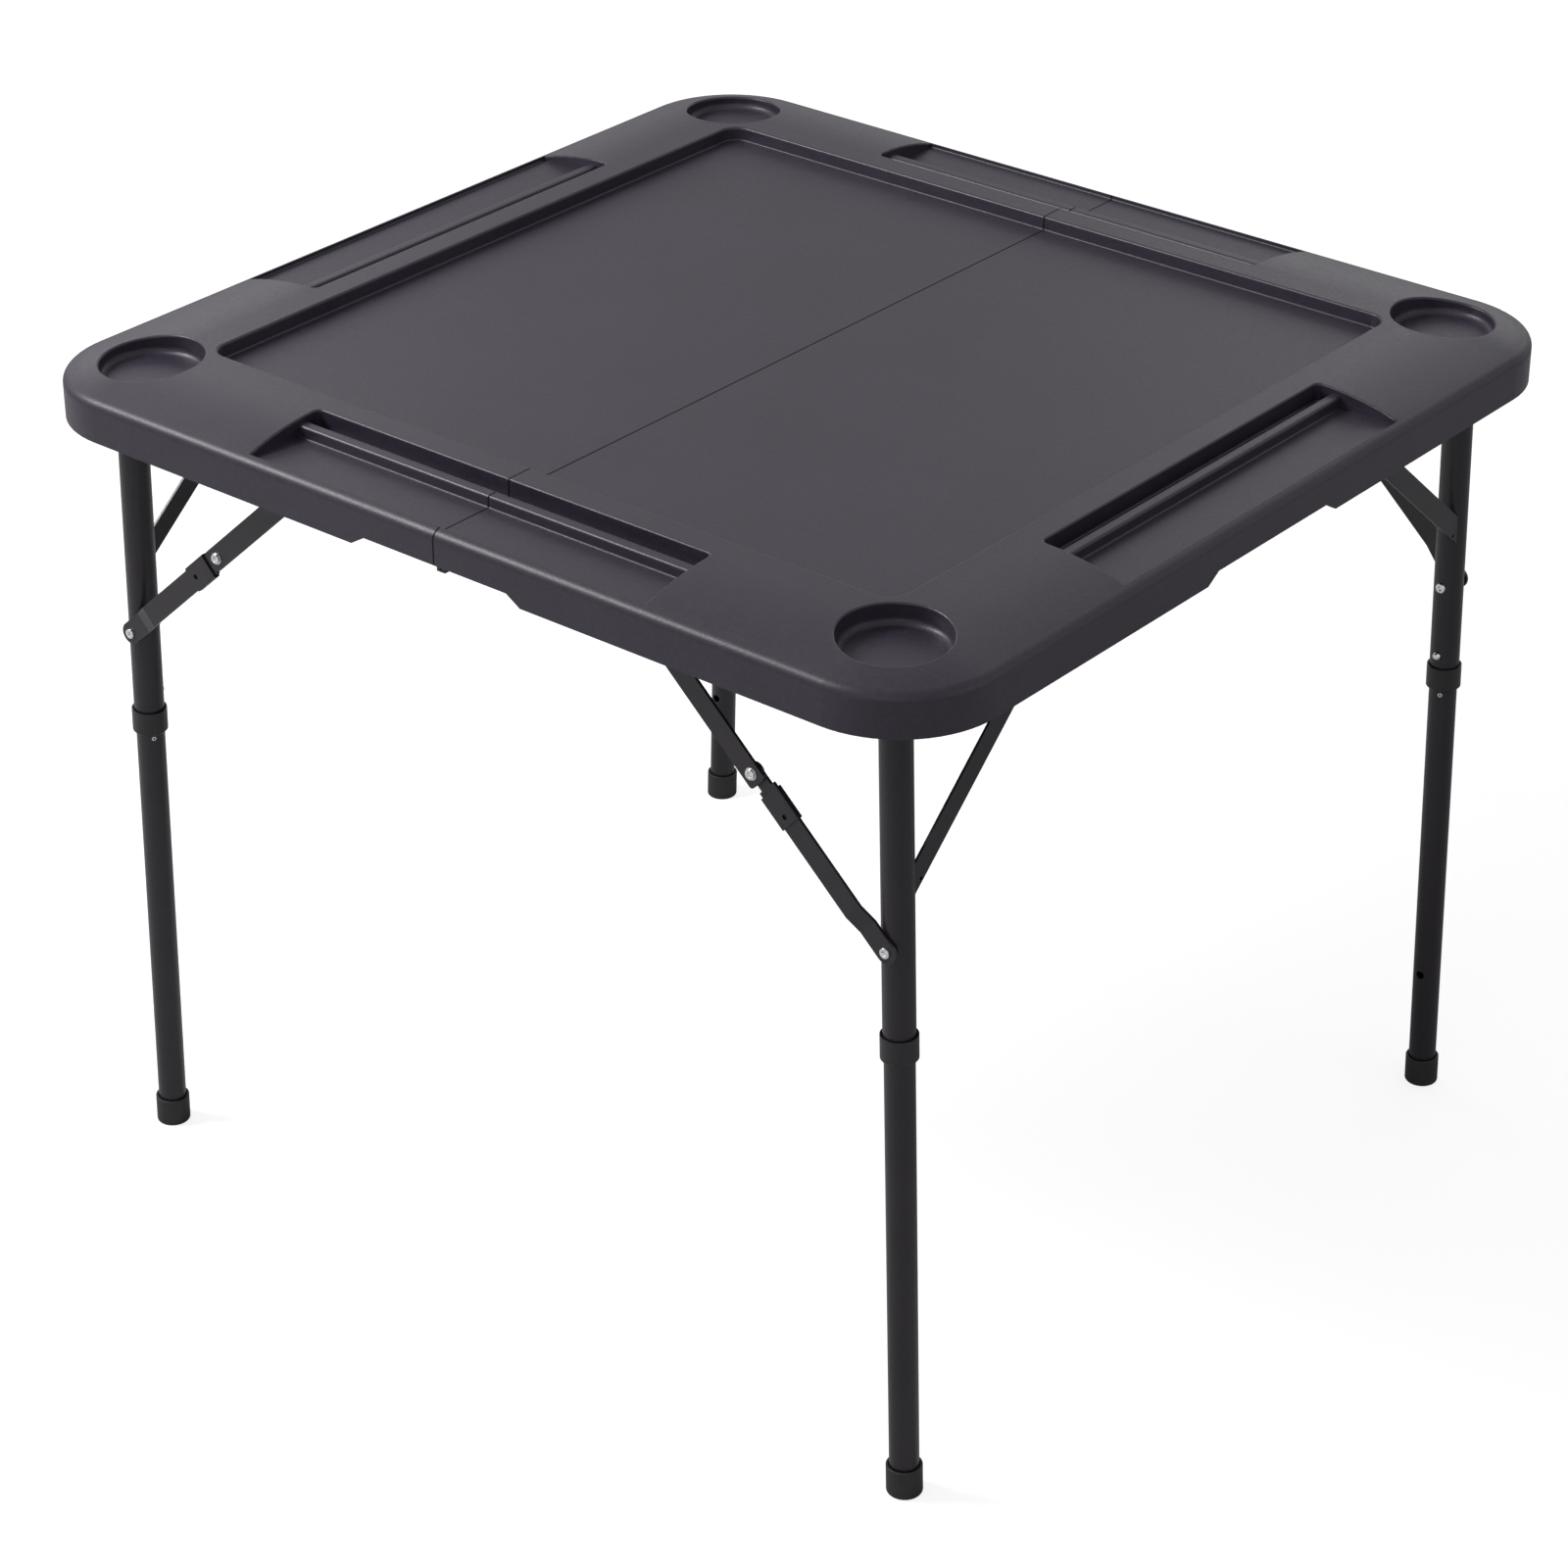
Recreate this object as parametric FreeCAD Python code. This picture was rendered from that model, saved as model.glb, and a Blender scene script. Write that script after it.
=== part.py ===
"""Folding mahjong table: two moulded top halves, two folding leg frames and a carry handle.

Millimetres, +Z up. The origin is on the floor under the middle of the table. X runs across
the seam and Y along it, so the two halves fold about a line along Y at the bottom of their
skirts. Pieces that repeat are built once at +X and +Y and mirrored to their places.
"""
import FreeCAD
import Part
import math
import os
from FreeCAD import Vector

# Overall sizes of the open table
top_length = 880.0
top_width = 840.0
corner_radius = 84.0
frame_height = 711.0
skirt_depth = 47.0

# Surface of the top, as widths from the outer edge inwards and drops from the frame
lip_width = 8.0
panel_width = 51.0
ridge_width = 10.0
groove_width = 12.0
frame_width = 24.0
panel_drop = 15.0
ridge_drop = 5.5
groove_drop = 15.0
field_drop = 12.0
crown_radius = 241.0
rim_radius = 8.0
long_rack_end_inset = 247.0
side_rack_end_inset = 244.0
field_corner_radius = 16.0
cup_radius = 41.0
cup_inset_x = 76.5
cup_inset_y = 71.0
cup_drop = 16.5
cup_floor_round = 5.5
cup_edge_round = 1.5
field_edge_round = 2.0
rack_edge_round = 1.5
ridge_round = 2.5
rack_floor_round = 1.5
rack_corner_round = 5.0
seam_clearance = 0.2

# Underside of the top
skirt_wall = 4.0
cavity_depth = 28.6
field_skin = 2.5
rib_width = 5.0
rib_column_count = 4
rib_row_count = 7
foot_bay_margin = 1.4
notch_half = 70.0
notch_rise = 8.0
notch_slope = 13.0
overrun = 3.0

# Leg frames
pivot_rise = 14.0
foot_inset = 45.0
leg_inset = 57.0
leg_splay = 1.65
tube_radius = 12.2
tube_wall = 0.6
stowed_leg_showing = 79.5
slide_clearance = 0.1
lower_wall = 1.0
tube_overlap = 25.5
foot_seam_gap = 1.47
stay_thickness = 2.0
stay_width = 18.0
stay_drop = 152.0
stay_slope = 41.0
stay_hole_radius = 1.6
stay_plane = 7.6
stay_hole_inset = 8.0
stay_hole_fall = 1.0

# Collar, foot and snap button of each leg
collar_radius = 14.2
collar_height = 21.0
collar_below_tube = 2.5
collar_mouth_depth = 4.0
collar_mouth_gap = 0.9
collar_taper = 2.0
collar_clearance = 0.2
foot_radius = 14.0
foot_height = 25.0
foot_sole = 4.0
foot_round = 2.2
foot_mouth_depth = 2.5
foot_mouth_gap = 0.9
foot_lip_round = 0.7
button_radius = 3.4
button_rise = 30.0
button_proud = 3.2
button_hole_clearance = 0.3
button_round_share = 0.7
tube_top_allowance = 0.05

# Folding braces
brace_rise = 91.5
brace_offset = 12.0
bar_width = 18.0
bar_thickness = 2.5
bar_plane = 15.8
plate_clearance = 0.3
joggle_start = 22.0
joggle_length = 14.0
neck_width = 12.0
neck_length = 14.0
bar_end_round = 3.0
sleeve_length = 27.0
sleeve_distance = 18.0
sleeve_wall = 1.2
sleeve_clearance = 0.3
sleeve_hole_radius = 2.2
sleeve_hole_share = 0.75
rivet_radius = 2.5
rivet_head_radius = 4.2
rivet_head_height = 1.8
rivet_clearance = 0.1
rivet_dome_share = 0.6
brace_bracket_length = 46.0
brace_bracket_width = 23.0
bracket_sheet = 2.0

# Saddle straps that carry the cross tubes
saddle_inset = 152.0
saddle_width = 26.0
saddle_sheet = 1.2
saddle_clearance = 0.3
saddle_flange = 16.0

# Screws under the top
screw_radius = 1.9
screw_head_radius = 3.8
screw_head_height = 1.8
screw_length = 9.0
short_screw_length = 3.2

# Centre hinges
hinge_places_share = (-0.58, 0.0, 0.58)
hinge_length = 56.0
hinge_knuckle_radius = 3.6
hinge_knuckle_gap = 0.25
hinge_pin_radius = 1.8
hinge_pin_clearance = 0.08
leaf_sheet = 2.0
leaf_reach = 27.0
hinge_pad_margin = 5.0
hinge_relief = 0.5
leaf_screw_share = 0.6

# Carry handle on the left edge
handle_pivot_inset = 13.0
handle_pivot_rise = 5.0
handle_arm_length = 30.0
handle_arm_offset = 56.0
handle_arm_width = 8.0
handle_thickness = 5.0
handle_grip_overhang = 18.0
handle_grip_width = 9.0
handle_grip_bow = 7.0
handle_hub_radius = 4.4
handle_pin_radius = 2.0
handle_ear = 3.0
handle_ear_gap = 0.4
handle_ear_width = 14.0
handle_foot_length = 16.0
handle_round_share = 0.3

# Worked out from the sizes above
half_length = top_length / 2
half_width = top_width / 2
skirt_bottom = frame_height - skirt_depth
long_rack_half = half_length - long_rack_end_inset
side_rack_half = half_width - side_rack_end_inset
rack_inset = lip_width + panel_width + ridge_width + groove_width
field_inset = rack_inset + frame_width
field_height = frame_height - field_drop
ceiling = skirt_bottom + cavity_depth
pivot_z = skirt_bottom + pivot_rise
splay = math.radians(leg_splay)
pivot_x = half_length - foot_inset - pivot_z * math.tan(splay)
pivot = Vector(pivot_x, 0, pivot_z)
tube_top_radius = tube_radius + tube_top_allowance
tube_bore = tube_radius - tube_wall
lower_radius = tube_bore - slide_clearance
leg_offset = half_width - leg_inset
leg_length = pivot_z / math.cos(splay)
stowed_foot_reach = pivot_x - foot_seam_gap
slide_travel = leg_length - stowed_foot_reach
upper_leg_length = stowed_foot_reach - stowed_leg_showing
lower_tube_top = upper_leg_length - tube_overlap
button_drop = upper_leg_length - button_rise
saddle_offset = half_width - saddle_inset
brace_leg_drop = upper_leg_length - brace_rise
brace_reach = brace_leg_drop + brace_offset
brace_pivot_x = pivot_x - brace_reach
leg_rivet = Vector(pivot_x + brace_leg_drop * math.sin(splay), 0,
                   pivot_z - brace_leg_drop * math.cos(splay))
brace_span = math.hypot(leg_rivet.x - brace_pivot_x, pivot_z - leg_rivet.z)
lower_bar = (brace_span + brace_offset) / 2
upper_bar = (brace_span - brace_offset) / 2
brace_angle = math.degrees(math.atan2(pivot_z - leg_rivet.z, leg_rivet.x - brace_pivot_x))
upper_plane = bar_plane + bar_thickness + sleeve_clearance + sleeve_wall + plate_clearance
handle_pivot = Vector(-(half_length - handle_pivot_inset), 0, skirt_bottom + handle_pivot_rise)

X_AXIS = Vector(1, 0, 0)
Y_AXIS = Vector(0, 1, 0)
Z_AXIS = Vector(0, 0, 1)
ORIGIN = Vector(0, 0, 0)


def block(x0, x1, y0, y1, z0, z1):
    """A box between two opposite corners."""
    return Part.makeBox(x1 - x0, y1 - y0, z1 - z0, Vector(x0, y0, z0))


def rod(start, end, radius):
    """A cylinder from one point to another."""
    way = end.sub(start)
    return Part.makeCylinder(radius, way.Length, start, way)


def pipe(start, end, outer, inner):
    """A tube from one point to another."""
    return rod(start, end, outer).cut(rod(start, end, inner))


def united(solids):
    """One solid made of overlapping or touching ones."""
    return solids[0].multiFuse(solids[1:]).removeSplitter() if len(solids) > 1 else solids[0]


def prism(points, way):
    """A solid swept from a closed outline of points along a vector."""
    return Part.Face(Part.makePolygon(points + points[:1])).extrude(way)


def rounded(solid, radius, wanted):
    """The solid with the edges that a test picks rounded."""
    return solid.makeFillet(radius, [edge for edge in solid.Edges if wanted(edge)])


def to_side(solid, side):
    """A piece built at +X, or its mirror image for the left half."""
    return solid if side > 0 else solid.mirror(ORIGIN, X_AXIS)


def to_end(solid, end):
    """A piece built at +Y, or its mirror image for the front."""
    return solid if end > 0 else solid.mirror(ORIGIN, Y_AXIS)


def splayed(solid):
    """A piece of a leg built upright, leaned out about the leg's pivot."""
    leaned = solid.copy()
    leaned.rotate(pivot, Y_AXIS, -leg_splay)
    return leaned


def down_leg(distance, y=0.0, out=0.0):
    """A point on the upright leg at +X: so far below the pivot."""
    return Vector(pivot_x + out, y, pivot_z - distance)


def is_along(edge, axis):
    """True for a straight edge parallel to an axis."""
    if not isinstance(edge.Curve, (Part.Line, Part.LineSegment)):
        return False
    way = edge.Vertexes[-1].Point.sub(edge.Vertexes[0].Point)
    return way.cross(axis).Length < 1e-6 * way.Length


def crown_face():
    """Half of the border's cross-section, from a corner's centre out to the skirt."""
    flat = corner_radius - rack_inset
    crown_centre = Vector(flat, 0, frame_height - crown_radius)
    rim_x = corner_radius - rim_radius
    reach = crown_radius - rim_radius
    rim_z = crown_centre.z + math.sqrt(reach ** 2 - (rim_x - flat) ** 2)
    rim_centre = Vector(rim_x, 0, rim_z)
    lean = math.atan2(rim_x - flat, rim_z - crown_centre.z)

    def on_arc(centre, radius, angle):
        return centre.add(Vector(radius * math.sin(angle), 0, radius * math.cos(angle)))

    crown_top = Vector(flat, 0, frame_height)
    meet = on_arc(crown_centre, crown_radius, lean)
    skirt_top = Vector(corner_radius, 0, rim_z)
    edges = [
        Part.LineSegment(Vector(0, 0, skirt_bottom), Vector(0, 0, frame_height)),
        Part.LineSegment(Vector(0, 0, frame_height), crown_top),
        Part.Arc(crown_top, on_arc(crown_centre, crown_radius, lean / 2), meet),
        Part.Arc(meet, on_arc(rim_centre, rim_radius, (lean + math.pi / 2) / 2), skirt_top),
        Part.LineSegment(skirt_top, Vector(corner_radius, 0, skirt_bottom)),
        Part.LineSegment(Vector(corner_radius, 0, skirt_bottom), Vector(0, 0, skirt_bottom)),
    ]
    return Part.Face(Part.Wire([edge.toShape() for edge in edges]))


def top_blank():
    """The right half of the top before anything is cut out of it."""
    centre_x = half_length - corner_radius
    centre_y = half_width - corner_radius
    profile = crown_face()
    side = profile.copy()
    side.translate(Vector(centre_x, -centre_y, 0))
    solids = [
        block(0, centre_x, -centre_y, centre_y, skirt_bottom, frame_height),
        side.extrude(Vector(0, 2 * centre_y, 0)),
    ]
    for end in (1, -1):
        corner = profile.copy()
        corner.translate(Vector(centre_x, centre_y, 0))
        turned = corner.revolve(Vector(centre_x, centre_y, 0), Z_AXIS, 90)
        run = profile.copy()
        run.rotate(ORIGIN, Z_AXIS, 90)
        run.translate(Vector(0, centre_y, 0))
        solids += [to_end(turned, end), to_end(run.extrude(Vector(centre_x, 0, 0)), end)]
    return united(solids)


def rack_cutter(half_run):
    """What a tile rack removes: its groove, the space over its ridge and its sloping panel.

    Built for the back edge, along X about zero, with its outer edge at y = 0.
    """
    above = frame_height + overrun
    ridge_outer = -(lip_width + panel_width)
    ridge_inner = ridge_outer - ridge_width
    groove_inner = ridge_inner - groove_width
    outline = [
        (groove_inner, frame_height - groove_drop),
        (ridge_inner, frame_height - groove_drop),
        (ridge_inner, frame_height - ridge_drop),
        (ridge_outer, frame_height - ridge_drop),
        (ridge_outer, frame_height - panel_drop),
        (-lip_width, frame_height - panel_drop),
        (-lip_width, above),
        (groove_inner, above),
    ]
    points = [Vector(-half_run, y, z) for y, z in outline]
    cutter = prism(points, Vector(2 * half_run, 0, 0))

    def floor_edge(edge):
        z = edge.BoundBox.ZMax
        low = z < frame_height - ridge_drop - rack_floor_round
        return is_along(edge, X_AXIS) and low

    def inner_corner(edge):
        inner = abs(edge.CenterOfMass.y - groove_inner) < rack_floor_round
        return is_along(edge, Z_AXIS) and inner

    cutter = rounded(cutter, rack_corner_round, inner_corner)
    return rounded(cutter, rack_floor_round, floor_edge)


def cup_cutter():
    """The round hollow of a cup holder, with a rounded floor."""
    centre = Vector(half_length - cup_inset_x, half_width - cup_inset_y, frame_height - cup_drop)
    hollow = rod(centre, centre.add(Vector(0, 0, cup_drop + overrun)), cup_radius)
    return rounded(hollow, cup_floor_round, lambda edge: edge.BoundBox.ZMax < centre.z + cup_floor_round)


def field_cutter():
    """The sunken playing field of one half."""
    reach_x = half_length - field_inset
    reach_y = half_width - field_inset
    hollow = block(-overrun, reach_x, -reach_y, reach_y, field_height, frame_height + overrun)
    hollow = rounded(hollow, field_corner_radius,
                     lambda edge: is_along(edge, Z_AXIS) and edge.CenterOfMass.x > 0)
    return rounded(hollow, rack_floor_round,
                   lambda edge: edge.BoundBox.ZMax < field_height + overrun
                   and edge.BoundBox.XMax > 0 and not on_seam(edge))


def on_seam(edge):
    """True for an edge that lies in the plane where a half ends at the seam."""
    return edge.BoundBox.XMax < seam_clearance + slide_clearance


def cavity_cutters():
    """The hollow under one half, the cells among its ribs and the ways through for the feet."""
    inner_x = half_length - skirt_wall
    inner_y = half_width - skirt_wall
    bay = block(skirt_wall, inner_x, -inner_y, inner_y, skirt_bottom - overrun, ceiling)
    bay = rounded(bay, corner_radius - skirt_wall,
                  lambda edge: is_along(edge, Z_AXIS) and edge.CenterOfMass.x > skirt_wall)
    cutters = [bay]
    grid_x = half_length - field_inset - rib_width
    grid_y = half_width - field_inset - rib_width
    start_x = leaf_reach + 2 * hinge_pad_margin
    cell_x = (grid_x - start_x + rib_width) / rib_column_count
    cell_y = (2 * grid_y + rib_width) / rib_row_count
    for column in range(rib_column_count):
        for row in range(rib_row_count):
            x0 = start_x + column * cell_x
            y0 = -grid_y + row * cell_y
            cutters.append(block(x0, x0 + cell_x - rib_width, y0, y0 + cell_y - rib_width,
                                 ceiling - overrun, field_height - field_skin))
    bay_half = foot_radius + foot_bay_margin
    for end in (1, -1):
        foot_bay = block(-overrun, skirt_wall + overrun, leg_offset - bay_half,
                         leg_offset + bay_half, skirt_bottom - overrun, ceiling)
        cutters.append(to_end(foot_bay, end))
    return cutters


def notch_cutters():
    """The shallow finger notches in the bottom of the skirts, at the seam and the outer edge."""
    foot = notch_half + notch_slope
    low = skirt_bottom - overrun
    spread = foot + notch_slope * overrun / notch_rise
    outline = [(-spread, low), (spread, low), (notch_half, skirt_bottom + notch_rise),
               (-notch_half, skirt_bottom + notch_rise)]
    outer = prism([Vector(half_length - skirt_wall - overrun, y, z) for y, z in outline],
                  Vector(skirt_wall + 2 * overrun, 0, 0))
    ends = prism([Vector(x, half_width - skirt_wall - overrun, z) for x, z in outline],
                 Vector(0, skirt_wall + 2 * overrun, 0))
    return [outer, ends, to_end(ends, -1)]


def hinge_centres():
    """How far along the seam each centre hinge lies."""
    return [share * half_width for share in hinge_places_share]


def hinge_pads():
    """The thick pads under one half that the centre hinges are screwed to."""
    half = hinge_length / 2 + hinge_pad_margin
    return [block(seam_clearance, leaf_reach + hinge_pad_margin, y - half, y + half,
                  skirt_bottom, ceiling) for y in hinge_centres()]


def hinge_recesses():
    """What the leaves and knuckles of the centre hinges need out of one half."""
    cutters = []
    half = hinge_length / 2 + hinge_relief
    for y in hinge_centres():
        cutters.append(block(-overrun, leaf_reach + hinge_relief, y - half, y + half,
                             skirt_bottom - overrun, skirt_bottom + leaf_sheet))
        cutters.append(rod(Vector(0, y - half, skirt_bottom), Vector(0, y + half, skirt_bottom),
                           hinge_knuckle_radius + hinge_relief))
    return cutters


def screw_places():
    """Where the screws go under one half: seat point and length, for brackets and leaves."""
    places = []
    for end in (1, -1):
        for x in saddle_screw_x():
            places.append((Vector(x, end * saddle_offset, ceiling - saddle_sheet), screw_length))
        y = end * (leg_offset + brace_bracket_face() + bracket_sheet + brace_bracket_width / 2)
        for x in brace_screw_x():
            places.append((Vector(x, y, ceiling - bracket_sheet), short_screw_length))
    return places


def leaf_screw_places():
    """The seats of the countersunk screws in the leaves of the centre hinges."""
    reach = (leaf_reach + hinge_knuckle_radius) * leaf_screw_share
    spread = hinge_length / 2 - 2 * screw_head_radius
    return [Vector(reach, y + shift, skirt_bottom)
            for y in hinge_centres() for shift in (-spread, spread)]


def saddle_screw_x():
    """The X of the two screws of a saddle strap."""
    outer = tube_radius + saddle_clearance + saddle_sheet
    return [pivot_x - outer - saddle_flange / 2, pivot_x + outer + saddle_flange / 2]


def brace_screw_x():
    """The X of the two screws of a brace bracket."""
    shift = brace_bracket_length / 2 - 2 * screw_head_radius
    return [brace_pivot_x - shift, brace_pivot_x + shift]


def brace_bracket_face():
    """How far outboard of the leg's middle the upright of a brace bracket starts."""
    return upper_plane + bar_thickness + plate_clearance


def top_half():
    """One moulded half of the top, at +X."""
    half = top_blank()
    cutters = [field_cutter(), cup_cutter(), to_end(cup_cutter(), -1)]
    long_rack = rack_cutter(long_rack_half)
    long_rack.translate(Vector(0, half_width, 0))
    side_rack = rack_cutter(side_rack_half)
    side_rack.rotate(ORIGIN, Z_AXIS, -90)
    side_rack.translate(Vector(half_length, 0, 0))
    cutters += [long_rack, to_end(long_rack, -1), side_rack]
    half = half.cut(cutters)
    half = half.cut(block(-overrun, seam_clearance, -top_width, top_width,
                          skirt_bottom - overrun, frame_height + overrun))
    for radius, wanted in ((rack_edge_round, is_rack_end_edge), (ridge_round, is_ridge_edge),
                           (field_edge_round, is_field_edge), (cup_edge_round, is_cup_edge)):
        half = rounded(half, radius, wanted)
    half = half.cut(cavity_cutters())
    half = united([half] + hinge_pads())
    half = half.cut(hinge_recesses() + notch_cutters())
    shanks = [rod(seat, seat.add(Vector(0, 0, depth)), screw_radius)
              for seat, depth in screw_places()]
    shanks += [countersunk(seat, 0.0) for seat in leaf_screw_places()]
    return half.cut(shanks)


def is_rack_end_edge(edge):
    """True for the crowned upper edge across either end of a tile rack."""
    box = edge.BoundBox
    centre = edge.CenterOfMass
    across_long = abs(centre.x - long_rack_half) < slide_clearance and box.YLength > rack_inset / 2
    across_side = abs(abs(centre.y) - side_rack_half) < slide_clearance and box.XLength > rack_inset / 2
    return (across_long or across_side) and box.ZMin > frame_height - panel_drop + slide_clearance


def is_ridge_edge(edge):
    """True for the two upper edges along a rack's ridge."""
    ridge_top = frame_height - ridge_drop
    level = abs(edge.BoundBox.ZMin - ridge_top) + abs(edge.BoundBox.ZMax - ridge_top) < slide_clearance
    return level and edge.Length > side_rack_half / 2


def is_field_edge(edge):
    """True for the upper edge round the playing field."""
    box = edge.BoundBox
    inner_x = half_length - field_inset + lip_width
    inner_y = half_width - field_inset + lip_width
    inside = box.XMax < inner_x and box.YMax < inner_y and box.YMin > -inner_y
    return inside and box.ZMin > frame_height - slide_clearance and not on_seam(edge)


def is_cup_edge(edge):
    """True for the upper edge of a cup holder."""
    reach = max(math.hypot(vertex.X - (half_length - cup_inset_x),
                           abs(vertex.Y) - (half_width - cup_inset_y)) for vertex in edge.Vertexes)
    return reach < cup_radius + slide_clearance and edge.BoundBox.ZMin > frame_height - cup_drop / 2


def countersunk(seat, clearance):
    """A countersunk screw, or its hole: the head is flush with the seat and points down."""
    head = Part.makeCone(screw_head_radius + clearance, screw_radius + clearance, leaf_sheet, seat)
    shank = rod(seat, seat.add(Vector(0, 0, screw_length)), screw_radius + clearance)
    return united([head, shank])


def pan_screw(seat, depth):
    """A pan-head screw that goes up into the top from its seat."""
    head = rod(seat.sub(Vector(0, 0, screw_head_height)), seat, screw_head_radius)
    low = seat.z - screw_head_height / 2
    head = rounded(head, screw_head_height / 2, lambda edge: edge.BoundBox.ZMax < low)
    shank = rod(seat, seat.add(Vector(0, 0, depth)), screw_radius)
    slot = block(seat.x - screw_head_radius / 2, seat.x + screw_head_radius / 2,
                 seat.y - screw_radius / 4, seat.y + screw_radius / 4,
                 seat.z - screw_head_height - overrun, seat.z - screw_head_height / 2)
    return united([head, shank]).cut(slot)


def underside_screws():
    """All the screws under one half, a group of separate solids."""
    screws = [pan_screw(seat, depth) for seat, depth in screw_places()]
    screws += [countersunk(seat, 0.0) for seat in leaf_screw_places()]
    return Part.makeCompound(screws)


def hinge_leaf(y, outer):
    """One leaf of a centre hinge at +X, with the outer knuckles or the middle one."""
    half = hinge_length / 2
    third = hinge_length / 6
    spans = [(-half, -third - hinge_knuckle_gap), (third + hinge_knuckle_gap, half)] if outer \
        else [(-third, third)]
    plate = block(hinge_knuckle_radius + hinge_relief, leaf_reach, y - half, y + half,
                  skirt_bottom, skirt_bottom + leaf_sheet)
    solids = [plate]
    for low, high in spans:
        start = Vector(0, y + low, skirt_bottom)
        end = Vector(0, y + high, skirt_bottom)
        solids.append(rod(start, end, hinge_knuckle_radius))
        solids.append(block(0, 2 * hinge_knuckle_radius, y + low, y + high,
                            skirt_bottom, skirt_bottom + leaf_sheet))
    leaf = united(solids)
    bore = hinge_pin_radius + (0.0 if outer else hinge_pin_clearance)
    leaf = leaf.cut(rod(Vector(0, y - half, skirt_bottom), Vector(0, y + half, skirt_bottom), bore))
    return leaf.cut([countersunk(seat, 0.0) for seat in leaf_screw_places()])


def hinge_leaves(side):
    """The three leaves on one half; the right half's carry the pins."""
    return Part.makeCompound([to_side(hinge_leaf(y, side > 0), side) for y in hinge_centres()])


def hinge_pins():
    """The three pins of the centre hinges."""
    half = hinge_length / 2
    return Part.makeCompound([rod(Vector(0, y - half, skirt_bottom), Vector(0, y + half, skirt_bottom),
                                  hinge_pin_radius) for y in hinge_centres()])


def saddle_strap():
    """A strap round the underside of the cross tube, screwed to the ceiling on both sides."""
    inner = tube_radius + saddle_clearance
    outer = inner + saddle_sheet
    y0 = saddle_offset - saddle_width / 2
    y1 = saddle_offset + saddle_width / 2
    start = Vector(pivot_x, y0, pivot_z)
    end = Vector(pivot_x, y1, pivot_z)
    flanges = block(pivot_x - outer - saddle_flange, pivot_x + outer + saddle_flange, y0, y1,
                    ceiling - saddle_sheet, ceiling)
    cheeks = block(pivot_x - outer, pivot_x + outer, y0, y1, pivot_z, ceiling)
    strap = united([rod(start, end, outer), cheeks, flanges])
    strap = strap.cut([rod(start, end, inner),
                       block(pivot_x - inner, pivot_x + inner, y0, y1, pivot_z, ceiling + overrun),
                       block(pivot_x - outer, pivot_x + outer, y0, y1, ceiling, ceiling + overrun)])
    holes = [rod(Vector(x, saddle_offset, ceiling - saddle_sheet), Vector(x, saddle_offset, ceiling),
                 screw_radius) for x in saddle_screw_x()]
    return strap.cut(holes)


def saddle_straps():
    """The two straps of one half."""
    strap = saddle_strap()
    return Part.makeCompound([strap, to_end(strap, -1)])


def brace_bracket():
    """An angle bracket on the ceiling with the stud that a brace's upper bar hangs on."""
    face = leg_offset + brace_bracket_face()
    x0 = brace_pivot_x - brace_bracket_length / 2
    x1 = brace_pivot_x + brace_bracket_length / 2
    upright_half = bar_width / 2 + bracket_sheet
    upright = block(brace_pivot_x - upright_half, brace_pivot_x + upright_half, face,
                    face + bracket_sheet, pivot_z, ceiling)
    eye = rod(Vector(brace_pivot_x, face, pivot_z), Vector(brace_pivot_x, face + bracket_sheet, pivot_z),
              upright_half)
    flange = block(x0, x1, face, face + bracket_sheet + brace_bracket_width,
                   ceiling - bracket_sheet, ceiling)
    bar_inner = leg_offset + upper_plane
    stud = rod(Vector(brace_pivot_x, bar_inner - plate_clearance, pivot_z),
               Vector(brace_pivot_x, face, pivot_z), rivet_radius)
    head = rivet_head(Vector(brace_pivot_x, bar_inner - plate_clearance, pivot_z), -1)
    bracket = united([upright, eye, flange, stud, head])
    y = face + bracket_sheet + brace_bracket_width / 2
    return bracket.cut([rod(Vector(x, y, ceiling - bracket_sheet), Vector(x, y, ceiling), screw_radius)
                        for x in brace_screw_x()])


def rivet_head(seat, way):
    """A low domed rivet head that stands on its seat, towards +Y or -Y."""
    top = seat.add(Vector(0, way * rivet_head_height, 0))
    head = rod(seat, top, rivet_head_radius)
    return rounded(head, rivet_head_height * rivet_dome_share,
                   lambda edge: abs(edge.CenterOfMass.y - top.y) < slide_clearance)


def brace_brackets():
    """The two brace brackets of one half."""
    bracket = brace_bracket()
    return Part.makeCompound([bracket, to_end(bracket, -1)])


def cross_tube():
    """The tube between the two legs of a frame, which turns in the saddle straps."""
    start = Vector(pivot_x, -leg_offset, pivot_z)
    end = Vector(pivot_x, leg_offset, pivot_z)
    tube = pipe(start, end, tube_radius, tube_bore)
    legs = [rod(down_leg(-2 * tube_radius, y), down_leg(2 * tube_radius, y), tube_radius)
            for y in (-leg_offset, leg_offset)]
    return splayed(tube.cut(legs))


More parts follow.
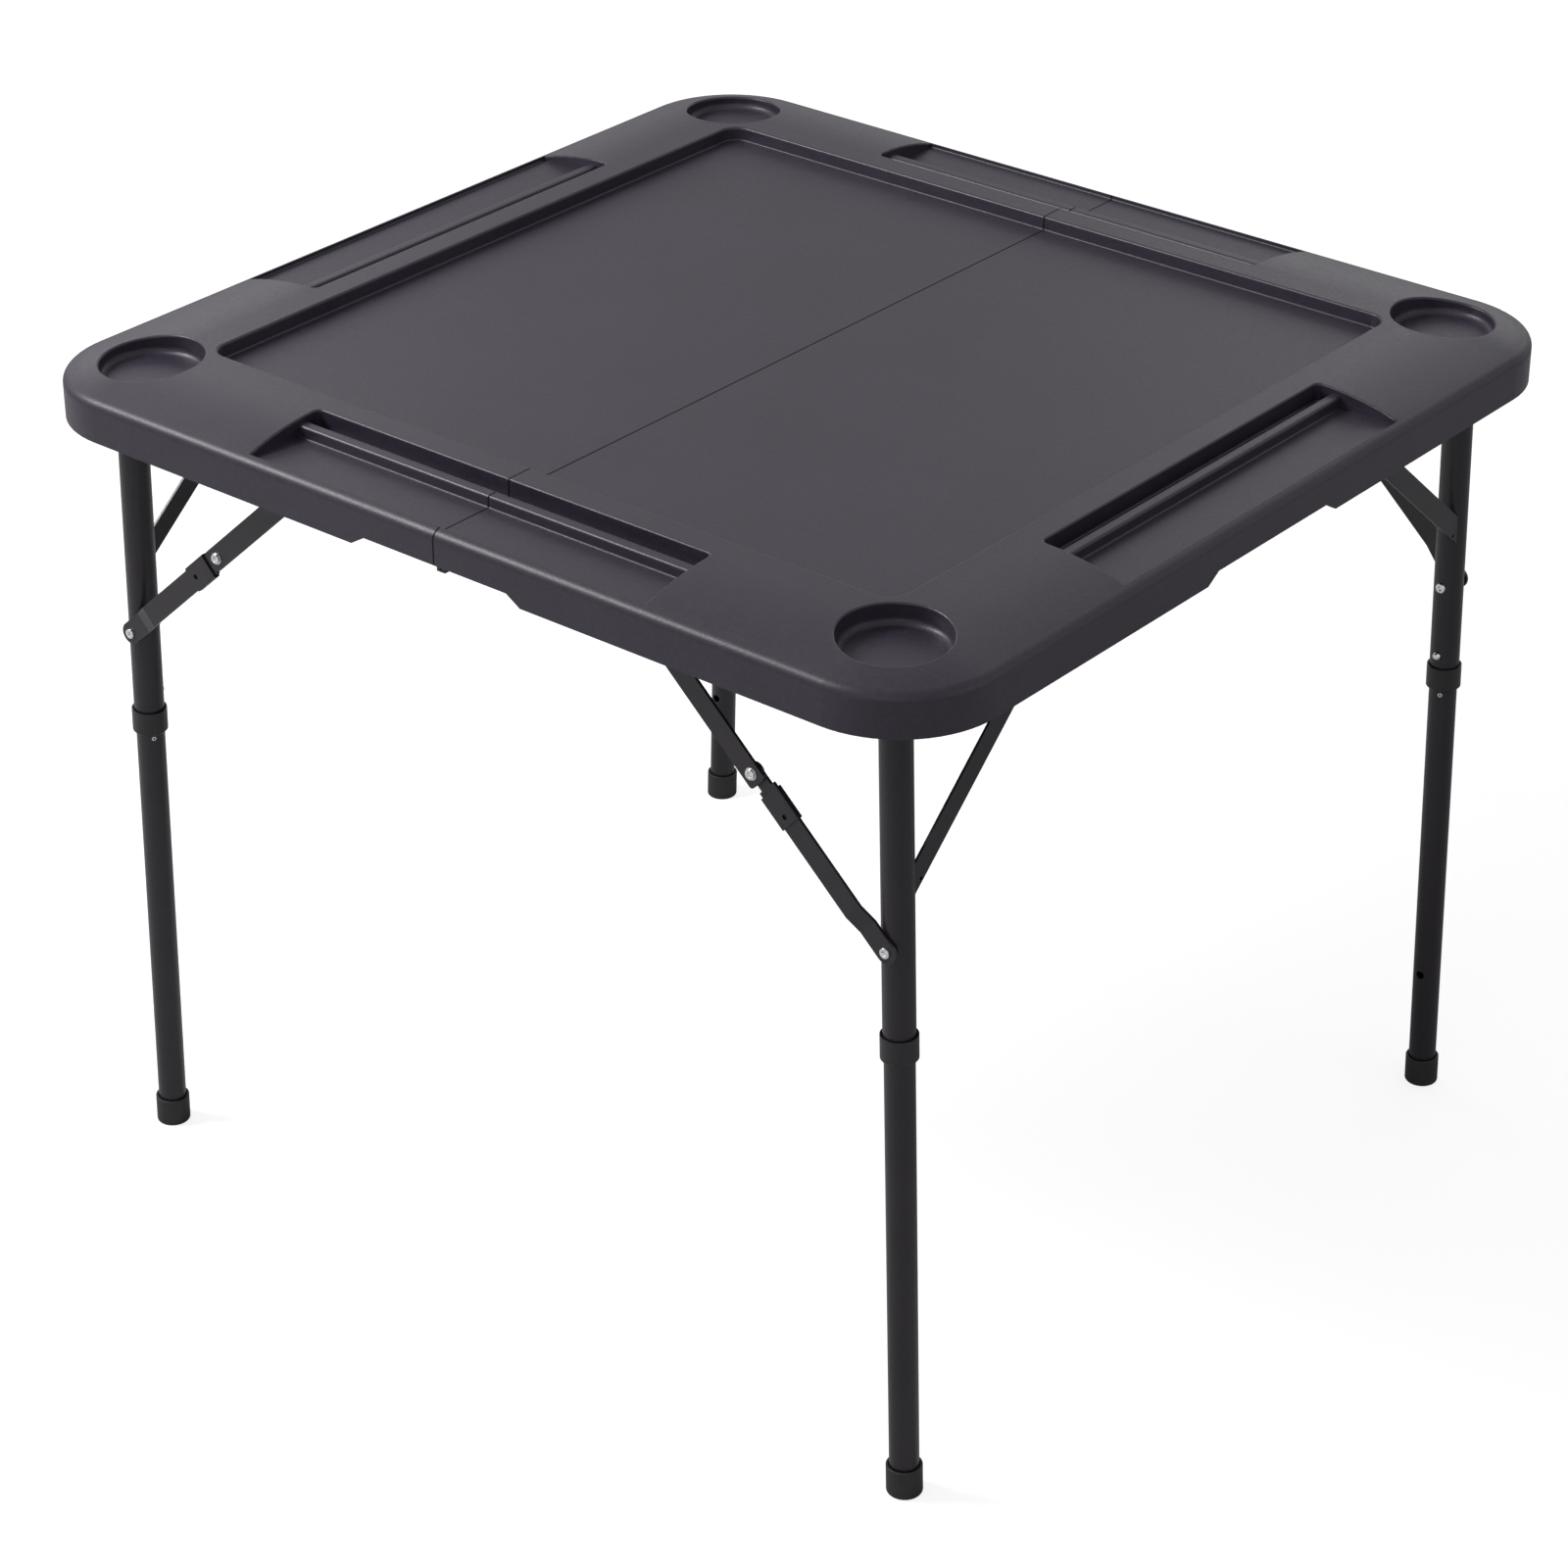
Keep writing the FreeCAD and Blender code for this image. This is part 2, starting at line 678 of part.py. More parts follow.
def upper_leg():
    """The upper tube of a leg, with its rounded top end and the hole for the snap button."""
    tube = rod(down_leg(-tube_radius, leg_offset), down_leg(upper_leg_length, leg_offset), tube_radius)
    round_top = rod(Vector(pivot_x, leg_offset - 2 * tube_radius, pivot_z),
                    Vector(pivot_x, leg_offset + 2 * tube_radius, pivot_z), tube_top_radius)
    above = block(pivot_x - 2 * tube_radius, pivot_x + 2 * tube_radius,
                  leg_offset - 2 * tube_radius, leg_offset + 2 * tube_radius,
                  pivot_z, pivot_z + 2 * tube_radius)
    tube = tube.cut(above.cut(round_top))
    tube = tube.cut(rod(down_leg(-2 * tube_radius, leg_offset),
                        down_leg(upper_leg_length, leg_offset), tube_bore))
    hole = rod(down_leg(button_drop, leg_offset - 2 * tube_radius), down_leg(button_drop, leg_offset),
               button_radius + button_hole_clearance)
    return splayed(tube.cut([hole, leg_rivet_shank()]))


def leg_rivet_shank():
    """The shank of the rivet through the inner side of a leg, still upright."""
    return rod(down_leg(brace_leg_drop, leg_offset - tube_radius - rivet_head_height / 2),
               down_leg(brace_leg_drop, leg_offset - tube_bore), rivet_radius)


def leg_stay():
    """A flat stay near the outer side of a frame, welded between the leg and the cross tube."""
    slope = math.radians(stay_slope)
    rise = stay_width / math.cos(slope) / 2
    foot_y = leg_offset - tube_radius / 2
    top_z = pivot_z - tube_radius / 2
    top_y = foot_y - (top_z - pivot_z + stay_drop) / math.tan(slope)
    x = pivot_x + stay_plane
    back = rise / math.tan(slope)
    points = [
        Vector(x, foot_y, pivot_z - stay_drop - rise),
        Vector(x, foot_y, pivot_z - stay_drop + rise),
        Vector(x, top_y + back, top_z),
        Vector(x, top_y - back, top_z),
    ]
    strip = prism(points, Vector(stay_thickness, 0, 0))
    strip = strip.cut([rod(down_leg(0, leg_offset), down_leg(upper_leg_length, leg_offset), tube_radius),
                       rod(Vector(pivot_x, 0, pivot_z), Vector(pivot_x, leg_offset, pivot_z), tube_radius)])
    hole = Vector(x - overrun, foot_y - stay_hole_inset, pivot_z - stay_drop - stay_hole_fall)
    strip = strip.cut(rod(hole, hole.add(Vector(stay_thickness + 2 * overrun, 0, 0)), stay_hole_radius))
    return splayed(strip)


def leg_stays(side):
    """The two stays of one frame."""
    stay = to_side(leg_stay(), side)
    return Part.makeCompound([stay, to_end(stay, -1)])


def collar():
    """The plastic collar round the bottom of an upper leg, which guides the lower one."""
    bottom = upper_leg_length + collar_below_tube
    top = bottom - collar_height
    body = rod(down_leg(top, leg_offset), down_leg(bottom, leg_offset), collar_radius)
    body = body.makeChamfer(collar_taper, [edge for edge in body.Edges
                                           if edge.BoundBox.ZMax < pivot_z - bottom + slide_clearance])
    seat = rod(down_leg(top, leg_offset), down_leg(upper_leg_length, leg_offset), tube_radius)
    mouth = rod(down_leg(top, leg_offset), down_leg(top + collar_mouth_depth, leg_offset),
                tube_radius + collar_mouth_gap)
    guide = rod(down_leg(top, leg_offset), down_leg(bottom, leg_offset), lower_radius + collar_clearance)
    return splayed(body.cut([seat, mouth, guide]))


def lower_leg():
    """The lower tube of a leg, with the holes that its snap button can drop into."""
    bottom = leg_length - foot_sole
    tube = pipe(down_leg(lower_tube_top, leg_offset), down_leg(bottom, leg_offset),
                lower_radius, lower_radius - lower_wall)
    stowed_hole = button_drop + slide_travel
    hole = rod(down_leg(stowed_hole, leg_offset - 2 * tube_radius), down_leg(stowed_hole, leg_offset),
               button_radius + button_hole_clearance)
    return above_floor(splayed(tube.cut(hole)), foot_sole)


def above_floor(solid, height):
    """What stands higher above the floor than a height."""
    box = solid.BoundBox
    return solid.common(block(box.XMin - overrun, box.XMax + overrun, box.YMin - overrun,
                              box.YMax + overrun, height, box.ZMax + overrun))


def foot_cap():
    """The rubber cap on the bottom of a lower leg, flat on the floor."""
    top = leg_length - foot_height
    body = rod(down_leg(top, leg_offset), down_leg(leg_length + foot_sole, leg_offset), foot_radius)
    body = rounded(body, foot_lip_round, lambda edge: edge.BoundBox.ZMin > pivot_z - top - slide_clearance)
    mouth = rod(down_leg(top, leg_offset), down_leg(top + foot_mouth_depth, leg_offset),
                lower_radius + foot_mouth_gap)
    cap = above_floor(splayed(body.cut(mouth)), 0.0)
    cap = rounded(cap, foot_round, lambda edge: edge.BoundBox.ZMax < foot_round)
    bore = splayed(rod(down_leg(top, leg_offset), down_leg(leg_length, leg_offset), lower_radius))
    return cap.cut(above_floor(bore, foot_sole))


def snap_button():
    """The sprung button above a collar, on the side of the leg that faces its neighbour."""
    inner = leg_offset - lower_radius - button_hole_clearance
    outer = leg_offset - tube_radius - button_proud
    stem = rod(down_leg(button_drop, inner), down_leg(button_drop, outer), button_radius)
    stem = rounded(stem, button_radius * button_round_share,
                   lambda edge: edge.BoundBox.YMax < outer + slide_clearance)
    return splayed(stem)


def bar_outline(length, width):
    """A flat bar with round ends, between two pivots along X, in the plane y = 0."""
    straight = block(0, length, 0, bar_thickness, -width / 2, width / 2)
    ends = [rod(Vector(x, 0, 0), Vector(x, bar_thickness, 0), width / 2) for x in (0, length)]
    return united([straight] + ends)


def in_brace(solid, start, y):
    """A piece of a brace built along X from its pivot, laid along the open brace at +X, +Y."""
    placed = solid.copy()
    placed.rotate(ORIGIN, Y_AXIS, brace_angle)
    placed.translate(Vector(start.x, leg_offset + y, start.z))
    return placed


def elbow():
    """Where the two bars of an open brace meet."""
    angle = math.radians(brace_angle)
    return Vector(brace_pivot_x + upper_bar * math.cos(angle), 0, pivot_z - upper_bar * math.sin(angle))


def upper_brace_bar():
    """The bar from the bracket under the top to the elbow."""
    end = upper_bar + bar_width / 2
    squared = block(upper_bar, end, 0, bar_thickness, -bar_width / 2, bar_width / 2)
    squared = rounded(squared, bar_end_round,
                      lambda edge: is_along(edge, Y_AXIS) and edge.CenterOfMass.x > upper_bar)
    bar = united([bar_outline(upper_bar, bar_width), squared])
    hole = rivet_radius + rivet_clearance
    bar = bar.cut([rod(Vector(x, -overrun, 0), Vector(x, bar_thickness + overrun, 0), hole)
                   for x in (0, upper_bar)])
    return in_brace(bar, Vector(brace_pivot_x, 0, pivot_z), upper_plane)


def lower_brace_bar():
    """The bar from the elbow to the leg, joggled in to lie against the leg at its lower end."""
    shift = bar_plane - tube_radius - plate_clearance
    bend_end = lower_bar - joggle_start
    bend_start = bend_end - joggle_length
    reach = bar_width
    path = [(-reach, 0), (bend_start, 0), (bend_end, -shift), (lower_bar + reach, -shift),
            (lower_bar + reach, bar_thickness - shift), (bend_end, bar_thickness - shift),
            (bend_start, bar_thickness), (-reach, bar_thickness)]
    strip = prism([Vector(x, y, -bar_width / 2) for x, y in path], Vector(0, 0, bar_width))
    outline = united([
        block(neck_length, lower_bar, -bar_width, bar_width, -bar_width / 2, bar_width / 2),
        block(0, neck_length, -bar_width, bar_width, -neck_width / 2, neck_width / 2),
        rod(Vector(0, -bar_width, 0), Vector(0, bar_width, 0), neck_width / 2 + rivet_radius / 2),
        rod(Vector(lower_bar, -bar_width, 0), Vector(lower_bar, bar_width, 0), bar_width / 2),
    ])
    bar = strip.common(outline)
    bar = bar.cut([rod(Vector(x, -bar_width, 0), Vector(x, bar_width, 0), rivet_radius)
                   for x in (0, lower_bar)])
    return in_brace(bar, elbow(), bar_plane)


def brace_rivets():
    """The elbow rivet with its washer, and the rivet at the leg; both stay with the lower bar."""
    outer = upper_plane + bar_thickness - bar_plane + plate_clearance
    washer = pipe(Vector(0, bar_thickness, 0), Vector(0, upper_plane - bar_plane - plate_clearance / 2, 0),
                  rivet_head_radius, rivet_radius)
    elbow_rivet = united([rod(ORIGIN, Vector(0, outer, 0), rivet_radius), washer,
                          rivet_head(Vector(0, outer, 0), 1),
                          rivet_head(ORIGIN, -1)])
    inner = tube_radius + plate_clearance - bar_plane
    leg_end = united([rod(Vector(lower_bar, inner, 0), Vector(lower_bar, inner + bar_thickness, 0),
                          rivet_radius),
                      rivet_head(Vector(lower_bar, inner + bar_thickness, 0), 1)])
    return in_brace(Part.makeCompound([elbow_rivet, leg_end]), elbow(), bar_plane)


def lock_sleeve():
    """The sleeve that slides on the lower bar beside the elbow."""
    inner_half = bar_width / 2 + sleeve_clearance
    outer_half = inner_half + sleeve_wall
    low = -sleeve_clearance
    high = bar_thickness + sleeve_clearance
    start = sleeve_distance
    end = sleeve_distance + sleeve_length
    shell = block(start, end, low - sleeve_wall, high + sleeve_wall, -outer_half, outer_half)
    shell = rounded(shell, sleeve_wall, lambda edge: is_along(edge, X_AXIS))
    peep_x = start + sleeve_length * sleeve_hole_share
    peep = rod(Vector(peep_x, high, 0), Vector(peep_x, high + 2 * sleeve_wall, 0), sleeve_hole_radius)
    shell = shell.cut([block(start, end, low, high, -inner_half, inner_half), peep])
    return in_brace(shell, elbow(), bar_plane)


def frame_rivets(side):
    """The rivets through the inner sides of one frame's legs, their heads shaped to the tube."""
    seat = down_leg(brace_leg_drop, leg_offset - tube_radius)
    head = united([rivet_head(seat, -1),
                   rod(seat, down_leg(brace_leg_drop, leg_offset - tube_bore), rivet_head_radius)])
    tube = rod(down_leg(0, leg_offset), down_leg(upper_leg_length, leg_offset), tube_radius)
    rivet = to_side(splayed(united([head.cut(tube), leg_rivet_shank()])), side)
    return Part.makeCompound([rivet, to_end(rivet, -1)])


def handle_solid():
    """The carry handle, hanging straight down from its pivot at the left edge."""
    x, z = handle_pivot.x, handle_pivot.z
    half_depth = handle_thickness / 2
    grip_z = z - handle_arm_length
    solids = []
    for y in (-handle_arm_offset, handle_arm_offset):
        solids.append(rod(Vector(x, y - handle_arm_width / 2, z), Vector(x, y + handle_arm_width / 2, z),
                          handle_hub_radius))
        solids.append(block(x - half_depth, x + half_depth, y - handle_arm_width / 2,
                            y + handle_arm_width / 2, grip_z - handle_grip_width, z))
    reach = handle_arm_offset + handle_grip_overhang
    upper = [Vector(x - half_depth, -reach, grip_z), Vector(x - half_depth, 0, grip_z - handle_grip_bow),
             Vector(x - half_depth, reach, grip_z)]
    drop = Vector(0, 0, -handle_grip_width)
    lower = [point.add(drop) for point in upper]
    outline = Part.Wire([
        Part.Arc(*upper).toShape(),
        Part.LineSegment(upper[2], lower[2]).toShape(),
        Part.Arc(lower[2], lower[1], lower[0]).toShape(),
        Part.LineSegment(lower[0], upper[0]).toShape(),
    ])
    grip = Part.Face(outline).extrude(Vector(handle_thickness, 0, 0))
    grip = rounded(grip, handle_thickness * handle_round_share,
                   lambda edge: not is_along(edge, X_AXIS))
    handle = united(solids + [grip])
    bores = [rod(Vector(x, -reach, z), Vector(x, reach, z), handle_pin_radius + rivet_clearance)]
    return handle.cut(bores)


def handle_bracket():
    """An ear outside the handle's arm at +Y, screwed to the ceiling of the left half."""
    x, z = handle_pivot.x, handle_pivot.z
    face = handle_arm_offset + handle_arm_width / 2 + handle_ear_gap
    half = handle_ear_width / 2
    upright = block(x - half, x + half, face, face + handle_ear, z, ceiling)
    eye = rod(Vector(x, face, z), Vector(x, face + handle_ear, z), handle_hub_radius)
    web = block(x - handle_hub_radius, x + handle_hub_radius, face, face + handle_ear, z, ceiling)
    foot = block(x - half, x + half, face, face + handle_foot_length, ceiling - handle_ear, ceiling)
    return united([upright, eye, web, foot])


def handle_brackets():
    """Both ears of the carry handle."""
    bracket = handle_bracket()
    return Part.makeCompound([bracket, to_end(bracket, -1)])


def handle_pin():
    """The pin through an ear and the handle's arm at +Y."""
    x, z = handle_pivot.x, handle_pivot.z
    inner = handle_arm_offset - handle_arm_width / 2
    outer = handle_arm_offset + handle_arm_width / 2 + handle_ear_gap + handle_ear
    return rod(Vector(x, inner, z), Vector(x, outer, z), handle_pin_radius)


def handle_pins():
    """Both pins of the carry handle."""
    pin = handle_pin()
    return Part.makeCompound([pin, to_end(pin, -1)])


def build():
    """Every node of the table by name."""
    nodes = {}
    top = top_half()
    for side, hand in ((1, "right"), (-1, "left")):
        nodes["top_half_" + hand] = to_side(top, side)
        nodes["hinge_leaves_" + hand] = hinge_leaves(side)
        nodes["underside_screws_" + hand] = to_side(underside_screws(), side)
        nodes["saddle_straps_" + hand] = to_side(saddle_straps(), side)
        nodes["brace_brackets_" + hand] = to_side(brace_brackets(), side)
        nodes["cross_tube_" + hand] = to_side(cross_tube(), side)
        nodes["leg_stays_" + hand] = leg_stays(side)
        nodes["frame_rivets_" + hand] = frame_rivets(side)
    nodes["hinge_pins"] = hinge_pins()
    corner_pieces = {
        "upper_leg": upper_leg(),
        "leg_collar": collar(),
        "lower_leg": lower_leg(),
        "foot_cap": foot_cap(),
        "snap_button": snap_button(),
        "brace_upper_bar": upper_brace_bar(),
        "brace_lower_bar": lower_brace_bar(),
        "brace_rivets": brace_rivets(),
        "lock_sleeve": lock_sleeve(),
    }
    for side, hand in ((1, "right"), (-1, "left")):
        for end, place in ((-1, "front"), (1, "back")):
            for name, solid in corner_pieces.items():
                nodes["_".join((name, hand, place))] = to_end(to_side(solid, side), end)
    pins = handle_pins()
    nodes["carry_handle"] = handle_solid()
    nodes["handle_brackets"] = handle_brackets().cut(pins)
    nodes["handle_pins"] = pins
    return nodes


def main():
    """Write every node to its own file."""
    os.makedirs("parts", exist_ok=True)
    for name, shape in build().items():
        shape.exportStep(os.path.join("parts", name + ".step"))
        print(name, len(shape.Solids), round(shape.Volume / 1000, 2), "cm3", shape.isValid())
    print("leg pivot", pivot, "turn", 90 + leg_splay, "lower leg slide", slide_travel)
    print("brace pivot", brace_pivot_x, "elbow", elbow(), "brace angle", brace_angle)
    print("handle pivot", handle_pivot)


main()
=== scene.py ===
"""A folding mahjong table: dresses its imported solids, adds fine pieces and lights a plain studio round it."""

import logging
import math
from collections.abc import Callable, Iterator
from contextlib import contextmanager
from dataclasses import dataclass, field
from enum import Enum

import bmesh
import bpy
from mathutils import Matrix, Vector


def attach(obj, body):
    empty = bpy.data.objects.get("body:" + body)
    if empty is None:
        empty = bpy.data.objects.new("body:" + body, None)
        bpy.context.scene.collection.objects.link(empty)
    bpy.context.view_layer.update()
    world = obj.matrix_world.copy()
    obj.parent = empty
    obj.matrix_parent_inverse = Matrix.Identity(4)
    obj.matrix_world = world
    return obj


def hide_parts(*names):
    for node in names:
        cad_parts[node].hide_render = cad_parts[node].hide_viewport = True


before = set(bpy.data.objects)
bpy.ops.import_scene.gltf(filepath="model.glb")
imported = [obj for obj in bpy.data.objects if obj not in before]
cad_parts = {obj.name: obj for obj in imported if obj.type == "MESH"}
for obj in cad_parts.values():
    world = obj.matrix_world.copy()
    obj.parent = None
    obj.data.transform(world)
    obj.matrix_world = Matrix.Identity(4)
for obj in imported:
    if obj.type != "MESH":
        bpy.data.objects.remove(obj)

Colour = tuple[float, float, float]
Range = tuple[float, float]
Span = tuple[Vector, Vector]
Test = Callable[[Vector, Vector], bool]
Axes = tuple[float, float, float]
Piece = bpy.types.Object
Socket = bpy.types.NodeSocket
Tree = bpy.types.NodeTree

log = logging.getLogger("mahjong_table")

MM = 0.001
WELD = 0.001 * MM
NEAR = 0.01 * MM
LEG_PIVOT = Vector((375.47 * MM, 363.0 * MM, 678.0 * MM))
LEG_SPLAY = math.radians(1.65)
# A normal that lies this much along an axis faces that way.
FACES = 0.9
# An edge that lies this much along a radius is a spoke.
ALONG = 0.5
# Edges sharper than this many degrees stay crisp, by how a piece was made.
CUT, MOULDED, TURNED, WELDED = 40.0, 35.0, 50.0, 60.0


class Side(Enum):
    """The two folding halves, named as the solids name them."""

    RIGHT = "right"
    LEFT = "left"

    @property
    def sign(self) -> int:
        """Which way this half lies along X."""
        return 1 if self is Side.RIGHT else -1


class End(Enum):
    """The two ends of a leg frame, named as the solids name them."""

    FRONT = "front"
    BACK = "back"

    @property
    def sign(self) -> int:
        """Which way this end lies along Y."""
        return -1 if self is End.FRONT else 1


def facing(way: Axes | Vector) -> Matrix:
    """The turn that brings +Z to a direction."""
    return Vector((0, 0, 1)).rotation_difference(Vector(way)).to_matrix().to_4x4()


def alone(piece: Piece) -> None:
    """Selects one piece and nothing else, and makes it the active one."""
    bpy.ops.object.select_all(action="DESELECT")
    piece.select_set(True)
    bpy.context.view_layer.objects.active = piece


@contextmanager
def editing(piece: Piece) -> Iterator[None]:
    """Opens one piece alone in edit mode, and closes it again.

    Args:
        piece: The mesh object to edit.
    """
    alone(piece)
    bpy.ops.object.mode_set(mode="EDIT")
    try:
        yield
    finally:
        bpy.ops.object.mode_set(mode="OBJECT")


def pick(piece: Piece, wanted: Test, edges: bool = False) -> None:
    """Selects, in edit mode, exactly the faces or the edges that a test picks.

    Args:
        piece: The piece being edited.
        wanted: A test of a face's middle and normal, or of an edge's middle and direction, in metres.
        edges: Whether edges are picked.
    """
    bpy.context.tool_settings.mesh_select_mode = (False, edges, not edges)
    bpy.ops.mesh.select_all(action="DESELECT")
    mesh = bmesh.from_edit_mesh(piece.data)
    for edge in mesh.edges if edges else ():
        first, last = (vert.co for vert in edge.verts)
        edge.select_set(wanted((first + last) / 2, (last - first).normalized()))
    for face in () if edges else mesh.faces:
        face.select_set(wanted(face.calc_center_median(), face.normal))
    mesh.select_flush_mode()
    bmesh.update_edit_mesh(piece.data)


def new_piece(name: str) -> Piece:
    """Names the piece that was just made, and puts its place into its mesh.

    Args:
        name: What to call it.

    Returns:
        The piece.
    """
    piece = bpy.context.object
    piece.name = piece.data.name = name
    bpy.ops.object.transform_apply()
    return piece


def extrude(move: Axes | Vector) -> None:
    """Extrudes what is selected, in edit mode."""
    bpy.ops.mesh.extrude_region_move(TRANSFORM_OT_translate={"value": move})


def apply_modifier(piece: Piece, kind: str, **settings: object) -> None:
    """Adds a modifier to a piece and applies it.

    Args:
        piece: The piece to change.
        kind: Blender's name of the modifier.
        settings: What to set on it.
    """
    alone(piece)
    modifier = piece.modifiers.new(kind.lower(), kind)
    for key, value in settings.items():
        setattr(modifier, key, value)
    bpy.ops.object.modifier_apply(modifier=modifier.name)


def settle(piece: Piece, angle: float = CUT) -> Piece:
    """Puts a piece's place into its mesh, closes it, turns its faces outwards and shades it.

    Args:
        piece: The finished piece.
        angle: Edges sharper than this many degrees stay crisp.

    Returns:
        The same piece.
    """
    alone(piece)
    bpy.ops.object.transform_apply()
    with editing(piece):
        bpy.ops.mesh.select_all(action="SELECT")
        bpy.ops.mesh.remove_doubles(threshold=WELD)
        bpy.ops.mesh.normals_make_consistent(inside=False)
    bpy.ops.object.shade_smooth_by_angle(angle=math.radians(angle))
    return piece


def cut(piece: Piece, cutter: Piece, operation: str = "DIFFERENCE") -> None:
    """Cuts a piece by another one, or unites them, and deletes the other one."""
    apply_modifier(piece, "BOOLEAN", operation=operation, object=cutter, solver="EXACT")
    remove(cutter)


def cylinder(name: str, radius: float, start: Vector, end: Vector, sides: int = 40) -> Piece:
    """Adds a cylinder between two points.

    Args:
        name: What to call it.
        radius: Its radius.
        start: The middle of its first end.
        end: The middle of its last end.
        sides: How many flats it has.

    Returns:
        The cylinder.
    """
    way = end - start
    turn = Vector((0, 0, 1)).rotation_difference(way).to_euler()
    bpy.ops.mesh.primitive_cylinder_add(vertices=sides, radius=radius, depth=way.length,
                                        location=(start + end) / 2, rotation=turn)
    return new_piece(name)


def box(name: str, low: Vector, high: Vector) -> Piece:
    """Adds a box between its lowest and its highest corner."""
    bpy.ops.mesh.primitive_cube_add(size=1.0, location=(low + high) / 2, scale=high - low)
    return new_piece(name)


def grow(piece: Piece, steps: list[tuple[Vector, Axes]]) -> None:
    """Extrudes the selected face step by step, and resizes it about its own middle after each step.

    Args:
        piece: The piece being edited, with one face selected.
        steps: How far each step goes, and how much each axis then grows.
    """
    mesh = bmesh.from_edit_mesh(piece.data)
    centre = next(face for face in mesh.faces if face.select).calc_center_median()
    for move, size in steps:
        extrude(move)
        centre = centre + move
        bpy.ops.transform.resize(value=size, center_override=centre)


def join(pieces: list[Piece], name: str) -> Piece:
    """Joins pieces into one object.

    Args:
        pieces: At least one piece.
        name: What to call the result.

    Returns:
        The joined piece.
    """
    bpy.ops.object.select_all(action="DESELECT")
    for piece in pieces:
        piece.select_set(True)
    bpy.context.view_layer.objects.active = pieces[0]
    bpy.ops.object.join()
    return new_piece(name)


def remove(piece: Piece) -> None:
    """Deletes a piece that was only there to shape or to be copied."""
    mesh = piece.data
    bpy.data.objects.remove(piece)
    bpy.data.meshes.remove(mesh)


def loose_parts(node: str) -> list[Span]:
    """Finds where the separate solids of a carried-over node are.

    Args:
        node: The node's name.

    Returns:
        The lowest and highest corner of each solid, in metres.
    """
    mesh = bmesh.new()
    mesh.from_mesh(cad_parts[node].data)
    bmesh.ops.remove_doubles(mesh, verts=mesh.verts, dist=WELD)
    seen: set[bmesh.types.BMVert] = set()
    spans = []
    for start in mesh.verts:
        if start in seen:
            continue
        seen.add(start)
        part, waiting = [], [start]
        while waiting:
            vert = waiting.pop()
            part.append(vert.co.copy())
            near = {edge.other_vert(vert) for edge in vert.link_edges} - seen
            seen |= near
            waiting += near
        spans.append((Vector(map(min, *part)), Vector(map(max, *part))))
    mesh.free()
    return spans


def middle(span: Span) -> Vector:
    """The middle of a box."""
    return (span[0] + span[1]) / 2


@dataclass
class Wiring:
    """Adds and joins the nodes of one shader tree."""

    tree: Tree

    def add(self, kind: str, inputs: dict[str, object] | None = None, **settings: object) -> bpy.types.Node:
        """Adds a node.

        Args:
            kind: Blender's class name of the node, without its first words.
            inputs: Values or sockets for its inputs, by name or place.
            settings: What to set on the node itself.

        Returns:
            The new node.
        """
        node = self.tree.nodes.new("ShaderNode" + kind)
        for key, value in settings.items():
            setattr(node, key, value)
        for key, value in (inputs or {}).items():
            self.feed(node.inputs[key], value)
        return node

    def feed(self, socket: Socket, value: object) -> None:
        """Gives an input a value, a colour without its alpha, or joins it to an output."""
        if isinstance(value, Socket):
            self.tree.links.new(value, socket)
        else:
            socket.default_value = (*value, 1.0) if socket.type == "RGBA" else value

    def noise(self, place: Socket, scale: object, detail: float, roughness: float = 0.5) -> Socket:
        """Adds a noise, and gives its value."""
        inputs = {"Vector": place, "Scale": scale, "Detail": detail, "Roughness": roughness}
        return self.add("TexNoise", inputs).outputs["Fac"]

    def sum(self, operation: str, *values: object) -> Socket:
        """Adds a Math node.

        Args:
            operation: Blender's name of the operation.
            values: Values or sockets, in order.

        Returns:
            The result.
        """
        node = self.add("Math", operation=operation)
        for place, value in enumerate(values):
            self.feed(node.inputs[place], value)
        return node.outputs[0]

    def spread(self, value: object, low: float, high: float, to_low: float, to_high: float,
               smooth: bool = False) -> Socket:
        """Maps one range of values to another, clamped.

        Args:
            value: The value to map.
            low: Start of its range.
            high: End of its range.
            to_low: Start of the result's range.
            to_high: End of the result's range.
            smooth: Whether the ends are eased.

        Returns:
            The result.
        """
        node = self.add("MapRange", interpolation_type="SMOOTHSTEP" if smooth else "LINEAR")
        for place, one in enumerate((value, low, high, to_low, to_high)):
            self.feed(node.inputs[place], one)
        return node.outputs[0]

    def blend(self, share: object, first: object, second: object) -> Socket:
        """Mixes two colours.

        Args:
            share: How much of the second shows.
            first: A colour or socket.
            second: A colour or socket.

        Returns:
            The mixed colour.
        """
        node = self.add("Mix", data_type="RGBA")
        self.feed(node.inputs["Factor"], share)
        for name, value in (("A", first), ("B", second)):
            socket = next(one for one in node.inputs if one.name == name and one.type == "RGBA")
            self.feed(socket, value)
        return next(one for one in node.outputs if one.type == "RGBA")

    def effect(self, group: Tree, **inputs: object) -> bpy.types.Node:
        """Places a shared effect.

        Args:
            group: The effect's node group.
            inputs: Its inputs, by name in small letters.

        Returns:
            The group node.
        """
        node = self.add("Group")
        node.node_tree = group
        for key, value in inputs.items():
            self.feed(node.inputs[key.capitalize()], value)
        return node


